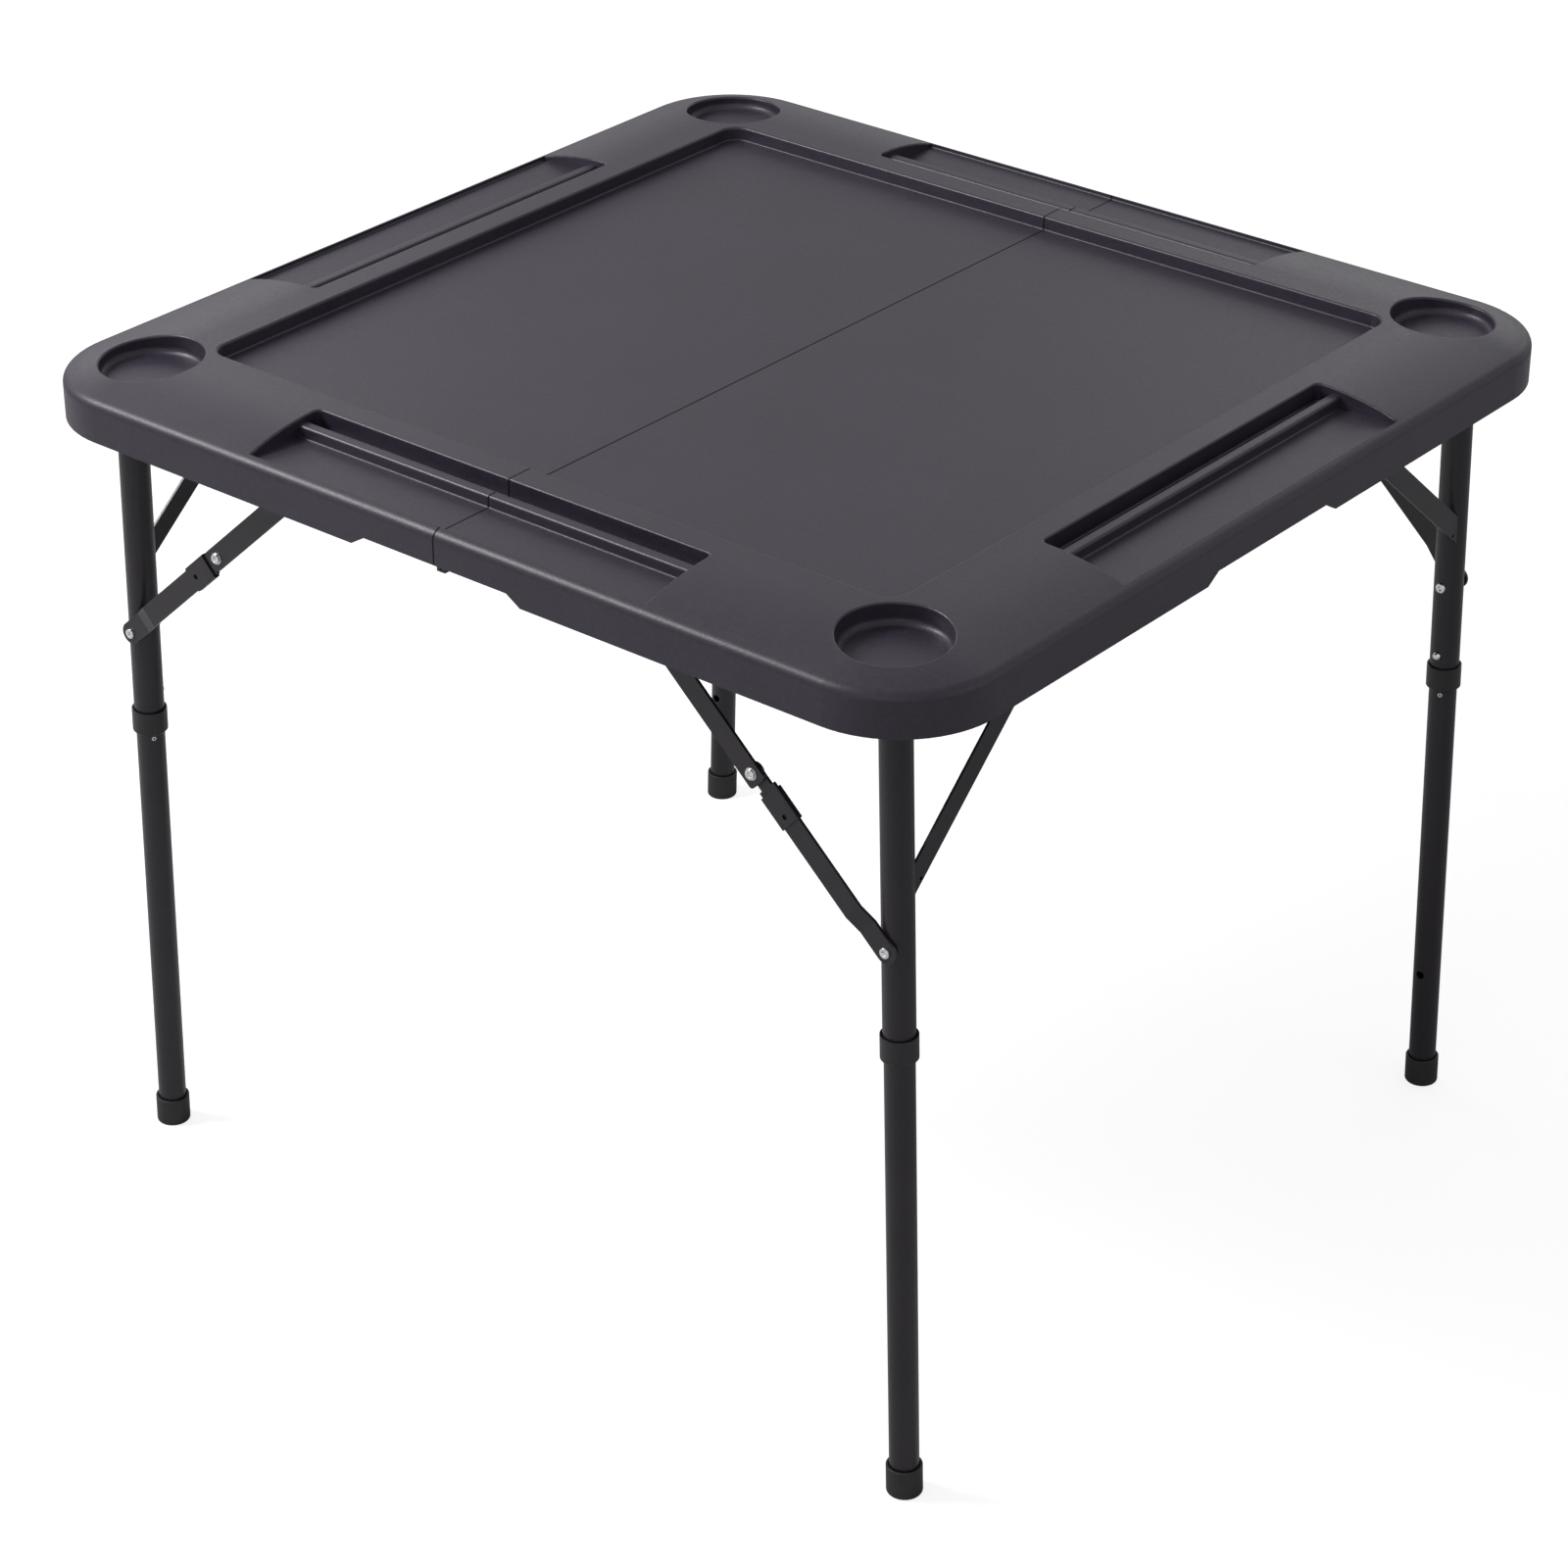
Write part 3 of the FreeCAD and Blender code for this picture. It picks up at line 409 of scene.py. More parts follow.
class Effects:
    """The node groups that several finishes share."""

    def __init__(self) -> None:
        """Builds every group once."""
        self.pebble = self.build_pebble()
        self.mottle = self.build_mottle()
        self.wear_and_highlight = self.build_wear_and_highlight()
        self.dust = self.build_dust()
        self.scratches = self.build_scratches()

    @staticmethod
    def start(name: str, **inputs: str) -> tuple:
        """Starts a node group.

        Args:
            name: The group's name.
            inputs: Kind of socket by input name: Vector, Float or Color.

        Returns:
            The wiring, and each input's socket in order.
        """
        tree = bpy.data.node_groups.new(name, "ShaderNodeTree")
        for label, kind in inputs.items():
            tree.interface.new_socket(label, in_out="INPUT", socket_type="NodeSocket" + kind)
        given = tree.nodes.new("NodeGroupInput").outputs
        return Wiring(tree), *(given[label] for label in inputs)

    @staticmethod
    def end(wire: Wiring, **results: Socket) -> Tree:
        """Ends a node group.

        Args:
            wire: The group's wiring.
            results: What it gives, by output name.

        Returns:
            The group.
        """
        out = wire.tree.nodes.new("NodeGroupOutput")
        for label, value in results.items():
            kind = "Color" if value.type == "RGBA" else "Float"
            wire.tree.interface.new_socket(label, in_out="OUTPUT", socket_type="NodeSocket" + kind)
            wire.feed(out.inputs[label], value)
        return wire.tree

    def build_pebble(self) -> Tree:
        """Moulded leather-like pebbles, as a height that varies between 0 and 1."""
        wire, place, cells = self.start("pebble_grain", Place="Vector", Cells="Float")
        bumps = wire.add("TexVoronoi", {"Vector": place, "Scale": cells, "Smoothness": 0.35, "Randomness": 0.9},
                         feature="SMOOTH_F1")
        waves = wire.noise(place, wire.sum("MULTIPLY", cells, 0.4), 3.0)
        dome = wire.spread(bumps.outputs["Distance"], 0.0, 0.75, 0.65, 0.0)
        return self.end(wire, Height=wire.sum("MULTIPLY_ADD", waves, 0.5, dome))

    def build_mottle(self) -> Tree:
        """Slow, faint change between two colours."""
        wire, place, blotches, dark, light = self.start("mottle", Place="Vector", Blotches="Float", Dark="Color",
                                                        Light="Color")
        slow = wire.noise(place, blotches, 4.0, 0.6)
        fine = wire.noise(place, wire.sum("MULTIPLY", blotches, 28.0), 2.0)
        both = wire.sum("MULTIPLY_ADD", fine, 0.4, wire.sum("MULTIPLY", slow, 0.6))
        mask = wire.spread(both, 0.38, 0.62, 0.0, 1.0, smooth=True)
        return self.end(wire, Colour=wire.blend(mask, dark, light), Mask=mask)

    def build_wear_and_highlight(self) -> Tree:
        """A broken mask along sharp edges, for edge wear and a painted edge highlight."""
        wire, place, reach, breaks = self.start("edge_wear_and_highlight", Place="Vector", Reach="Float", Breaks="Float")
        soft = wire.add("Bevel", {"Radius": reach}, samples=4).outputs["Normal"]
        true = wire.add("NewGeometry").outputs["Normal"]
        turned = wire.add("VectorMath", {0: soft, 1: true}, operation="DOT_PRODUCT").outputs["Value"]
        edge = wire.spread(turned, 0.995, 0.9, 0.0, 1.0, smooth=True)
        broken = wire.spread(wire.noise(place, breaks, 5.0), 0.42, 0.66, 0.15, 1.0)
        return self.end(wire, Mask=wire.sum("MULTIPLY", edge, broken))

    def build_dust(self) -> Tree:
        """A faint mask on surfaces that face up."""
        wire, place, specks = self.start("dust", Place="Vector", Specks="Float")
        up = wire.add("SeparateXYZ", {0: wire.add("NewGeometry").outputs["Normal"]}).outputs["Z"]
        lies = wire.spread(up, 0.55, 0.98, 0.0, 1.0, smooth=True)
        thin = wire.spread(wire.noise(place, specks, 6.0, 0.7), 0.4, 0.75, 0.0, 1.0)
        return self.end(wire, Mask=wire.sum("MULTIPLY", lies, thin))

    def build_scratches(self) -> Tree:
        """Long fine lines along one axis, as on drawn or wiped metal and paint."""
        wire, place, lines, stretch = self.start("fine_lines", Place="Vector", Lines="Float", Stretch="Vector")
        drawn = wire.add("Mapping", {"Vector": place, "Scale": stretch}).outputs["Vector"]
        return self.end(wire, Mask=wire.spread(wire.noise(drawn, lines, 4.0, 0.55), 0.35, 0.65, 0.0, 1.0))


@dataclass
class Coat:
    """A material in the making: its nodes, and what its colour and its roughness have come to."""

    wire: Wiring
    effects: Effects
    shader: bpy.types.Node
    place: Socket
    tint: Socket | None = None
    rough: Socket | None = None

    def mask(self, group: Tree, **inputs: object) -> Socket:
        """Places a shared effect, and gives its mask."""
        return self.wire.effect(group, place=self.place, **inputs).outputs["Mask"]

    def colour(self, mask: Socket, share: float, tint: Colour) -> None:
        """Lays a share of another colour over the coat where a mask shows."""
        self.tint = self.wire.blend(self.wire.sum("MULTIPLY", mask, share), self.tint, tint)

    def dull(self, mask: Socket, amount: float) -> None:
        """Roughens the coat where a mask shows."""
        self.rough = self.wire.sum("MULTIPLY_ADD", mask, amount, self.rough)


@dataclass(frozen=True)
class Finish:
    """A procedural finish in relief: mottled, and where the shares say so, worn and lit by a painted highlight at its
    edges, and dusty on top.
    """

    name: str
    dark: Colour
    light: Colour
    blotches: float
    cells: float
    depth: float
    strength: float
    grain: Range
    roughness: Range
    mottle_dulls: float = 0.0
    # The lighter edge colour: worn edges, and a painted highlight on them.
    wear_and_highlight_tint: Colour = (0.05, 0.05, 0.052)
    wear_and_highlight_share: float = 0.0
    wear_and_highlight_reach: float = 0.4 * MM
    wear_and_highlight_breaks: float = 240.0
    dust_share: float = 0.0
    dust_specks: float = 500.0
    dust_tint: Colour = (0.2, 0.2, 0.2)
    dust_dulls: float = 0.0

    def make(self, effects: Effects) -> bpy.types.Material:
        """Builds the material.

        Args:
            effects: The shared node groups.

        Returns:
            The material.
        """
        material = bpy.data.materials.new(self.name)
        material.use_nodes = True
        wire, shader = Wiring(material.node_tree), material.node_tree.nodes["Principled BSDF"]
        coat = Coat(wire, effects, shader, wire.add("TexCoord").outputs["Object"])
        mottle = wire.effect(effects.mottle, place=coat.place, blotches=self.blotches, dark=self.dark, light=self.light)
        relief = self.relief(coat)
        coat.tint = mottle.outputs["Colour"]
        coat.rough = wire.spread(relief, *self.grain, *self.roughness)
        if self.mottle_dulls:
            coat.dull(mottle.outputs["Mask"], self.mottle_dulls)
        # Lightens the edges, partly as wear and partly as a painted highlight.
        if self.wear_and_highlight_share:
            wear_and_highlight = coat.mask(effects.wear_and_highlight, reach=self.wear_and_highlight_reach, breaks=self.wear_and_highlight_breaks)
            coat.colour(wear_and_highlight, self.wear_and_highlight_share, self.wear_and_highlight_tint)
        if self.dust_share:
            dust = coat.mask(effects.dust, specks=self.dust_specks)
            coat.colour(dust, self.dust_share, self.dust_tint)
            coat.dull(dust, self.dust_dulls)
        self.complete(coat)
        wire.feed(shader.inputs["Base Color"], coat.tint)
        wire.feed(shader.inputs["Roughness"], coat.rough)
        bump = wire.add("Bump", {"Height": relief, "Strength": self.strength, "Distance": self.depth})
        wire.feed(shader.inputs["Normal"], bump.outputs["Normal"])
        return material

    def relief(self, coat: Coat) -> Socket:
        """The height of the relief: moulded pebbles, unless a kind of finish has another."""
        return coat.wire.effect(coat.effects.pebble, place=coat.place, cells=self.cells).outputs["Height"]

    def complete(self, coat: Coat) -> None:
        """Adds what only one kind of finish has."""


@dataclass(frozen=True)
class MouldedTop(Finish):
    """The blow-moulded top: a sunken field that is a little duller, and painted shade along the line where the halves
    meet.
    """

    index: float = 1.47
    # Specular level away from the seam, and in its painted shade.
    gloss: Range = (0.5, 0.02)
    field_height: float = 0.7
    field_fade: float = 2.0 * MM
    field_dulls: float = 0.05
    # Where the painted shade along the seam starts, how wide it is, how it fades, and its dark colour.
    seam_wall: float = 0.23 * MM
    seam_half: float = 0.55 * MM
    seam_fade: Range = (0.05 * MM, 0.35 * MM)
    seam_painted_shade: Colour = (0.003, 0.003, 0.0035)

    def complete(self, coat: Coat) -> None:
        """Dulls the field and paints shade along the seam, dark and without reflection, which leaves out the walls that
        the seam parts.

        Args:
            coat: The material in the making.
        """
        wire, inner, outer = coat.wire, *self.seam_fade
        axes = wire.add("SeparateXYZ", {0: coat.place}).outputs
        off = wire.sum("ABSOLUTE", axes["X"])
        seam = wire.sum("MULTIPLY", wire.spread(off, self.seam_wall, self.seam_wall + inner, 0.0, 1.0),
                        wire.spread(off, self.seam_half, self.seam_half + outer, 1.0, 0.0))
        # Paints shade into the colour along the seam.
        coat.colour(seam, 1.0, self.seam_painted_shade)
        coat.dull(wire.spread(axes["Z"], self.field_height, self.field_height + self.field_fade, 1.0, 0.0),
                  self.field_dulls)
        # The painted seam shade also loses its reflection.
        wire.feed(coat.shader.inputs["Specular IOR Level"], wire.spread(seam, 0.0, 1.0, *self.gloss))
        coat.shader.inputs["IOR"].default_value = self.index


@dataclass(frozen=True)
class PowderCoat(Finish):
    """Powder coat on steel: orange peel and faint wiping lines."""

    lines: float = 90.0
    stretch: Axes = (6.0, 6.0, 0.7)
    lines_dull: float = 0.05

    def relief(self, coat: Coat) -> Socket:
        """The height of the orange peel."""
        return coat.wire.noise(coat.place, self.cells, 2.0)

    def complete(self, coat: Coat) -> None:
        """Dulls the coat along its lines."""
        lines = coat.mask(coat.effects.scratches, lines=self.lines, stretch=self.stretch)
        coat.dull(lines, self.lines_dull)


@dataclass(frozen=True)
class PlatedSteel(Finish):
    """Plated steel: bright on rivets and buttons, greyer and more streaked on hinges."""

    stretch: Axes = (1.0, 4.0, 1.0)

    def relief(self, coat: Coat) -> Socket:
        """The height of the fine lines."""
        return coat.mask(coat.effects.scratches, lines=self.cells, stretch=self.stretch)

    def complete(self, coat: Coat) -> None:
        """Makes the surface metal."""
        coat.shader.inputs["Metallic"].default_value = 1.0


class Slot(Enum):
    """The record's material slots."""

    TOP = "top_plastic"
    PAINT = "frame_paint"
    BRIGHT = "bright_metal"
    HINGE = "hinge_steel"
    PLASTIC = "black_plastic"
    RUBBER = "foot_rubber"


FINISHES: dict[Slot, Finish] = {
    Slot.TOP: MouldedTop(
        "charcoal_moulded_plastic", (0.0245, 0.0188, 0.0335), (0.0315, 0.0252, 0.0415), blotches=9.0, cells=560.0,
        depth=0.09 * MM, strength=0.85, grain=(0.15, 0.95), roughness=(0.39, 0.30), mottle_dulls=0.03,
        # The lighter edge colour here is partly wear and partly a painted highlight along rims and ridges.
        wear_and_highlight_tint=(0.085, 0.078, 0.098), wear_and_highlight_share=0.5, wear_and_highlight_reach=0.9 * MM, wear_and_highlight_breaks=60.0,
        dust_share=0.035, dust_specks=240.0, dust_tint=(0.16, 0.155, 0.15), dust_dulls=0.06),
    Slot.PAINT: PowderCoat(
        "black_powder_coat", (0.0090, 0.0060, 0.0112), (0.0130, 0.0092, 0.0156), blotches=16.0, cells=620.0,
        depth=0.025 * MM, strength=0.8, grain=(0.3, 0.7), roughness=(0.37, 0.28),
        wear_and_highlight_tint=(0.060, 0.056, 0.064), wear_and_highlight_share=0.7, wear_and_highlight_reach=0.5 * MM, wear_and_highlight_breaks=180.0),
    Slot.BRIGHT: PlatedSteel(
        "bright_plated_steel", (0.66, 0.66, 0.67), (0.92, 0.92, 0.93), blotches=120.0, cells=900.0,
        depth=0.012 * MM, strength=0.6, grain=(0.0, 1.0), roughness=(0.13, 0.27)),
    Slot.HINGE: PlatedSteel(
        "zinc_sheet", (0.30, 0.30, 0.305), (0.50, 0.50, 0.51), blotches=120.0, cells=400.0,
        depth=0.02 * MM, strength=0.6, grain=(0.0, 1.0), roughness=(0.30, 0.44)),
    Slot.PLASTIC: Finish(
        "black_moulded_plastic", (0.0100, 0.0080, 0.0112), (0.0146, 0.0122, 0.0160), blotches=45.0, cells=1500.0,
        depth=0.03 * MM, strength=0.7, grain=(0.2, 0.9), roughness=(0.46, 0.36), wear_and_highlight_share=0.55, dust_share=0.02),
    Slot.RUBBER: Finish(
        "foot_rubber", (0.0100, 0.0098, 0.0104), (0.0150, 0.0148, 0.0155), blotches=45.0, cells=1100.0,
        depth=0.04 * MM, strength=0.7, grain=(0.2, 0.9), roughness=(0.62, 0.52),
        wear_and_highlight_tint=(0.045, 0.045, 0.046), wear_and_highlight_share=0.55, dust_share=0.05),
}


class Wardrobe:
    """One finish for each material slot, and the hand that puts them on."""

    def __init__(self) -> None:
        """Makes all finishes once."""
        effects = Effects()
        self.materials = {slot: finish.make(effects) for slot, finish in FINISHES.items()}

    def dress(self, slot: Slot, *nodes: str) -> None:
        """Puts a finish on carried-over nodes.

        Args:
            slot: Which finish.
            nodes: The nodes' names.
        """
        for node in nodes:
            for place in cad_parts[node].material_slots:
                place.material = self.materials[slot]
            log.info("dressed %s in %s", node, slot.value)

    def fit(self, piece: Piece, slot: Slot, body: str, *nodes: str) -> None:
        """Puts a finish on a new piece, and ties it to its body.

        Args:
            piece: The new piece.
            slot: Which finish.
            body: The body that it rides on.
            nodes: Carried-over nodes that it stands for.
        """
        piece.data.materials.clear()
        piece.data.materials.append(self.materials[slot])
        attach(piece, body)
        if nodes:
            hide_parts(*nodes)
        log.info("built %s on %s", piece.name, body)


@dataclass
class RolledRivet:
    """A tubular rivet: a bright rolled ring round a dark hollow, on a thin washer and a shank."""

    head_radius: float = 4.2 * MM
    head_height: float = 1.8 * MM
    hollow_radius: float = 1.75 * MM
    hollow_depth: float = 1.5 * MM
    roll: float = 0.75 * MM
    rim_share: float = 0.8
    washer_radius: float = 4.9 * MM
    washer_thickness: float = 0.3 * MM
    washer_edge: float = 0.09 * MM
    shank_radius: float = 2.5 * MM
    shank_edge: float = 0.2 * MM
    sides: int = 40
    tube_sides: int = 96

    def head(self) -> Piece:
        """Builds one head that stands on the origin and faces up.

        Returns:
            The head.
        """
        piece = cylinder("rolled_head", self.head_radius, Vector(), Vector((0, 0, self.head_height)), self.sides)
        near_top = self.head_height - NEAR
        with editing(piece):
            pick(piece, lambda at, normal: normal.z > FACES and at.z > near_top)
            bpy.ops.mesh.inset(thickness=self.head_radius - self.hollow_radius, use_even_offset=True)
            extrude((0, 0, -self.hollow_depth))
            pick(piece, lambda at, way: at.z > near_top and at.length > self.hollow_radius * self.rim_share
                 and abs(at.to_2d().normalized().dot(way.to_2d())) < ALONG, edges=True)
            bpy.ops.mesh.bevel(offset=self.roll, segments=5, profile=0.5, clamp_overlap=True)
        return settle(piece, TURNED)

    def saddled(self, tube_radius: float, sink: float) -> Piece:
        """Builds a head that faces up, its foot hollowed to sit on a tube along X.

        Args:
            tube_radius: The tube's radius.
            sink: How far the head reaches down past the tube's crest.

        Returns:
            The head, with the tube's crest at the origin.
        """
        head = self.head()
        head.data.transform(Matrix.Translation((0, 0, -sink)))
        reach, axis = Vector((4 * self.head_radius, 0, 0)), Vector((0, 0, -tube_radius))
        cut(head, cylinder("tube_cutter", tube_radius, axis - reach, axis + reach, self.tube_sides))
        return settle(head, TURNED)

    def disc(self, radius: float, length: float, edge: float) -> Piece:
        """Builds a washer or a shank, from the origin down.

        Args:
            radius: Its radius.
            length: How long it is.
            edge: How far its edges are rounded.

        Returns:
            The piece.
        """
        piece = cylinder("disc", radius, Vector((0, 0, -length)), Vector(), self.sides)
        apply_modifier(piece, "BEVEL", width=edge, segments=2)
        return settle(piece)


@dataclass
class CrossScrew:
    """A screw with a cross recess, its head either domed or flush."""

    head_radius: float = 3.8 * MM
    head_height: float = 1.8 * MM
    sink_height: float = 2.0 * MM
    shank_radius: float = 1.9 * MM
    recess_reach: float = 2.15 * MM
    recess_width: float = 0.85 * MM
    recess_depth: float = 1.15 * MM
    end_taper: float = 0.45
    side_taper: float = 0.8
    dome_share: float = 0.85
    sides: int = 32

    def cross(self, top: float) -> Piece:
        """Builds the tapered cross that cuts the recess.

        Args:
            top: The height of the face that it cuts.

        Returns:
            The cutter.
        """
        half = self.recess_width / 2
        foot = top - self.recess_depth
        bars = []
        for size, taper in (((self.recess_reach, half), (self.end_taper, self.side_taper)),
                            ((half, self.recess_reach), (self.side_taper, self.end_taper))):
            corner = Vector((*size, 0))
            bar = box("cross_bar", Vector((0, 0, foot)) - corner, Vector((0, 0, top + self.recess_depth)) + corner)
            with editing(bar):
                pick(bar, lambda at, normal: normal.z < -FACES)
                bpy.ops.transform.resize(value=(*taper, 1.0), center_override=(0, 0, foot))
            bars.append(bar)
        cut(bars[0], bars[1], "UNION")
        return bars[0]

    def pan(self, length: float) -> Piece:
        """Builds a domed screw that faces up, its seat at the origin.

        Args:
            length: How far the shank reaches below its seat.

        Returns:
            The screw.
        """
        piece = cylinder("pan_screw", self.head_radius, Vector(), Vector((0, 0, self.head_height)), self.sides)
        near_top = self.head_height - NEAR
        with editing(piece):
            pick(piece, lambda at, way: at.z > near_top and abs(at.normalized().dot(way)) < ALONG, edges=True)
            bpy.ops.mesh.bevel(offset=self.head_height * self.dome_share, segments=6, profile=0.5)
            pick(piece, lambda at, normal: normal.z < -FACES)
            bpy.ops.mesh.inset(thickness=self.head_radius - self.shank_radius)
            extrude((0, 0, -length))
        cut(piece, self.cross(self.head_height))
        return settle(piece, MOULDED)

    def flush(self, length: float) -> Piece:
        """Builds a countersunk screw that faces up, its face at the origin.

        Args:
            length: How far the shank reaches below its face.

        Returns:
            The screw.
        """
        piece = cylinder("flush_screw", self.head_radius, Vector((0, 0, -self.sink_height)), Vector(), self.sides)
        with editing(piece):
            pick(piece, lambda at, normal: normal.z < -FACES)
            share = self.shank_radius / self.head_radius
            bpy.ops.transform.resize(value=(share, share, 1.0), center_override=(0, 0, -self.sink_height))
            extrude((0, 0, self.sink_height - length))
        cut(piece, self.cross(0.0))
        return settle(piece, MOULDED)


@dataclass
class WeldBead:
    """A welded seam: a row of overlapping ripples, fused into one."""

    radius: float = 1.5 * MM
    pitch: float = 1.25 * MM
    flatness: float = 0.62
    segments: int = 14
    rings: int = 8
    voxel: float = 0.32 * MM

    def lay(self, name: str, path: list[Vector]) -> Piece:
        """Lays ripples along a closed path and fuses them.

        Args:
            name: What to call the bead.
            path: Points along the seam, close together.

        Returns:
            The bead.
        """
        bpy.ops.mesh.primitive_uv_sphere_add(segments=self.segments, ring_count=self.rings, radius=self.radius,
                                             scale=(1.0, 1.0, self.flatness))
        ripple = new_piece("ripple")
        made, spare = [], 0.0
        for start, end in zip(path, path[1:] + path[:1]):
            way = end - start
            while spare < way.length:
                mesh = ripple.data.copy()
                mesh.transform(Matrix.Translation(start + way.normalized() * spare) @ facing(way))
                made.append(bpy.data.objects.new("ripple", mesh))
                bpy.context.scene.collection.objects.link(made[-1])
                spare += self.pitch
            spare -= way.length
        remove(ripple)
        bead = join(made, name)
        bead.data.remesh_voxel_size = self.voxel
        bead.data.remesh_voxel_adaptivity = 0.0
        bpy.ops.object.voxel_remesh()
        return settle(bead, WELDED)


@dataclass
class TableTop:
    """The two moulded halves, their hinges and everything screwed under them."""

    wardrobe: Wardrobe
    screw: CrossScrew = field(default_factory=CrossScrew)
    flush_length: float = 9.0 * MM
    skirt_level: float = 670.0 * MM
    screw_turn: float = math.radians(37.0)

    def build(self) -> None:
        """Dresses the halves and their steel, and drives the screws."""
        for side in Side:
            name = side.value
            self.wardrobe.dress(Slot.TOP, f"top_half_{name}")
            self.wardrobe.dress(Slot.HINGE, f"hinge_leaves_{name}")
            self.wardrobe.dress(Slot.PAINT, f"saddle_straps_{name}", f"brace_brackets_{name}")
            self.drive_screws(side)
        self.wardrobe.dress(Slot.HINGE, "hinge_pins")

    def drive_screws(self, side: Side) -> None:
        """Drives cross-recess screws where the plain ones were.

        Args:
            side: Which half.
        """
        node = f"underside_screws_{side.value}"
        made = []
        for number, span in enumerate(loose_parts(node)):
            at = middle(span)
            at.z = span[0].z
            length = span[1].z - span[0].z
            if span[0].z < self.skirt_level:
                piece = self.screw.flush(self.flush_length)
            else:
                at.z += self.screw.head_height
                piece = self.screw.pan(length - self.screw.head_height)
            slant = Matrix.Rotation(self.screw_turn * number, 4, "Z")
            piece.data.transform(Matrix.Translation(at) @ facing((0, 0, -1)) @ slant)
            made.append(piece)
        self.wardrobe.fit(join(made, f"cross_screws_{side.value}"), Slot.BRIGHT, f"{side.value}_half", node)


@dataclass
class LegFrame:
    """One pair of legs with its cross tube, stays and rivets."""

    wardrobe: Wardrobe
    side: Side
    pivot: Vector = field(default_factory=LEG_PIVOT.copy)
    tube_radius: float = 12.2 * MM
    splay: float = LEG_SPLAY
    bead: WeldBead = field(default_factory=WeldBead)
    bead_points: int = 72
    bead_aside: float = 0.5 * MM
    bead_lift: float = 1.25 * MM
    rivet: RolledRivet = field(default_factory=lambda: RolledRivet(head_height=2.7 * MM))
    rivet_sink: float = 0.9 * MM

    def build(self) -> None:
        """Dresses the frame, and adds its rivets and welds."""
        name = self.side.value
        self.wardrobe.dress(Slot.PAINT, f"cross_tube_{name}", f"leg_stays_{name}")
        self.set_rivets()
        self.weld()

    def set_rivets(self) -> None:
        """Stands rolled rivets, saddled to the tubes, where the plain ones were."""
        node = f"frame_rivets_{self.side.value}"
        made = []
        for span in loose_parts(node):
            at = middle(span)
            end = End.BACK if at.y > 0 else End.FRONT
            at.y = end.sign * (self.pivot.y - self.tube_radius)
            head = self.rivet.saddled(self.tube_radius, self.rivet_sink)
            stand = Matrix.Rotation(-self.side.sign * self.splay, 4, "Y")
            upright = Matrix.Rotation(math.pi / 2, 4, "Z")
            head.data.transform(Matrix.Translation(at) @ stand @ facing((0, -end.sign, 0)) @ upright)
            made.append(head)
        piece = join(made, f"rolled_frame_rivets_{self.side.value}")
        self.wardrobe.fit(piece, Slot.BRIGHT, f"leg_frame_{self.side.value}", node)

    def weld(self) -> None:
        """Lays a bead where the cross tube meets each leg."""
        middle_x, leg_y, height = self.pivot
        around, away = self.tube_radius + self.bead_aside, self.tube_radius + self.bead_lift
        made = []
        for end in End:
            path = []
            for number in range(self.bead_points):
                angle = 2 * math.pi * number / self.bead_points
                off = around * math.cos(angle)
                path.append(Vector((self.side.sign * (middle_x + off), end.sign
                                    * (leg_y - math.sqrt(away ** 2 - off ** 2)), height + around * math.sin(angle))))
            made.append(self.bead.lay("tube_bead", path))
        self.wardrobe.fit(join(made, f"weld_beads_{self.side.value}"), Slot.PAINT, f"leg_frame_{self.side.value}")


@dataclass
class Corner:
    """What stands at one corner of the table."""

    wardrobe: Wardrobe
    side: Side
    end: End

    @property
    def name(self) -> str:
        """The corner, as the solids name it."""
        return f"{self.side.value}_{self.end.value}"


@dataclass
class Leg(Corner):
    """One leg: two tubes, a collar, a foot cap, a snap button and a stop pin."""

    pivot: Vector = field(default_factory=LEG_PIVOT.copy)
    splay: float = LEG_SPLAY
    lower_radius: float = 11.5 * MM
    pin_drop: float = 300.1 * MM
    pin_radius: float = 1.9 * MM
    pin_rim: float = 0.8
    pin_proud: float = 0.05 * MM
    pin_depth: float = 0.8 * MM
    pin_azimuths: Range = (math.radians(-30.0), math.radians(-109.0))
    pin_sides: int = 24
    form_sides: int = 160

    def build(self) -> None:
        """Dresses the leg and sets its stop pin."""
        self.set_stop_pin()
        self.wardrobe.dress(Slot.PAINT, f"upper_leg_{self.name}", f"lower_leg_{self.name}")
        self.wardrobe.dress(Slot.PLASTIC, f"leg_collar_{self.name}")
        self.wardrobe.dress(Slot.RUBBER, f"foot_cap_{self.name}")
        self.wardrobe.dress(Slot.BRIGHT, f"snap_button_{self.name}")

    def set_stop_pin(self) -> None:
        """Sets the small pin that shows just under the collar, nearly flush with the lower tube."""
        angle = self.pin_azimuths[0 if self.end is End.FRONT else 1]
        out = Vector((-self.side.sign * math.cos(angle), math.sin(angle), 0.0))
        axis = Vector((self.side.sign * math.sin(self.splay), 0.0, -math.cos(self.splay)))
        start = Vector((self.side.sign * self.pivot.x, self.end.sign * self.pivot.y, self.pivot.z))
        centre = start + axis * self.pin_drop
        face = self.lower_radius + self.pin_proud
        piece = cylinder(f"stop_pin_{self.name}", self.pin_radius, centre + out * (face - self.pin_depth),
                         centre + out * face, self.pin_sides)
        with editing(piece):
            pick(piece, lambda at, normal: normal.dot(out) > FACES)
            bpy.ops.mesh.inset(thickness=self.pin_radius * 0.5)
            extrude(-out * self.pin_depth / 4)
            pick(piece, lambda at, way: (at - centre).dot(out) > face - self.pin_depth / 8
                 and (at - centre - out * face).length > self.pin_radius * self.pin_rim, edges=True)
            bpy.ops.mesh.bevel(offset=self.pin_depth / 2, segments=3, profile=0.5)
        near = axis * 3 * self.pin_radius
        cut(piece, cylinder("leg_form", face, centre - near, centre + near, self.form_sides), "INTERSECT")
        self.wardrobe.fit(settle(piece, TURNED), Slot.BRIGHT, f"lower_leg_{self.name}")


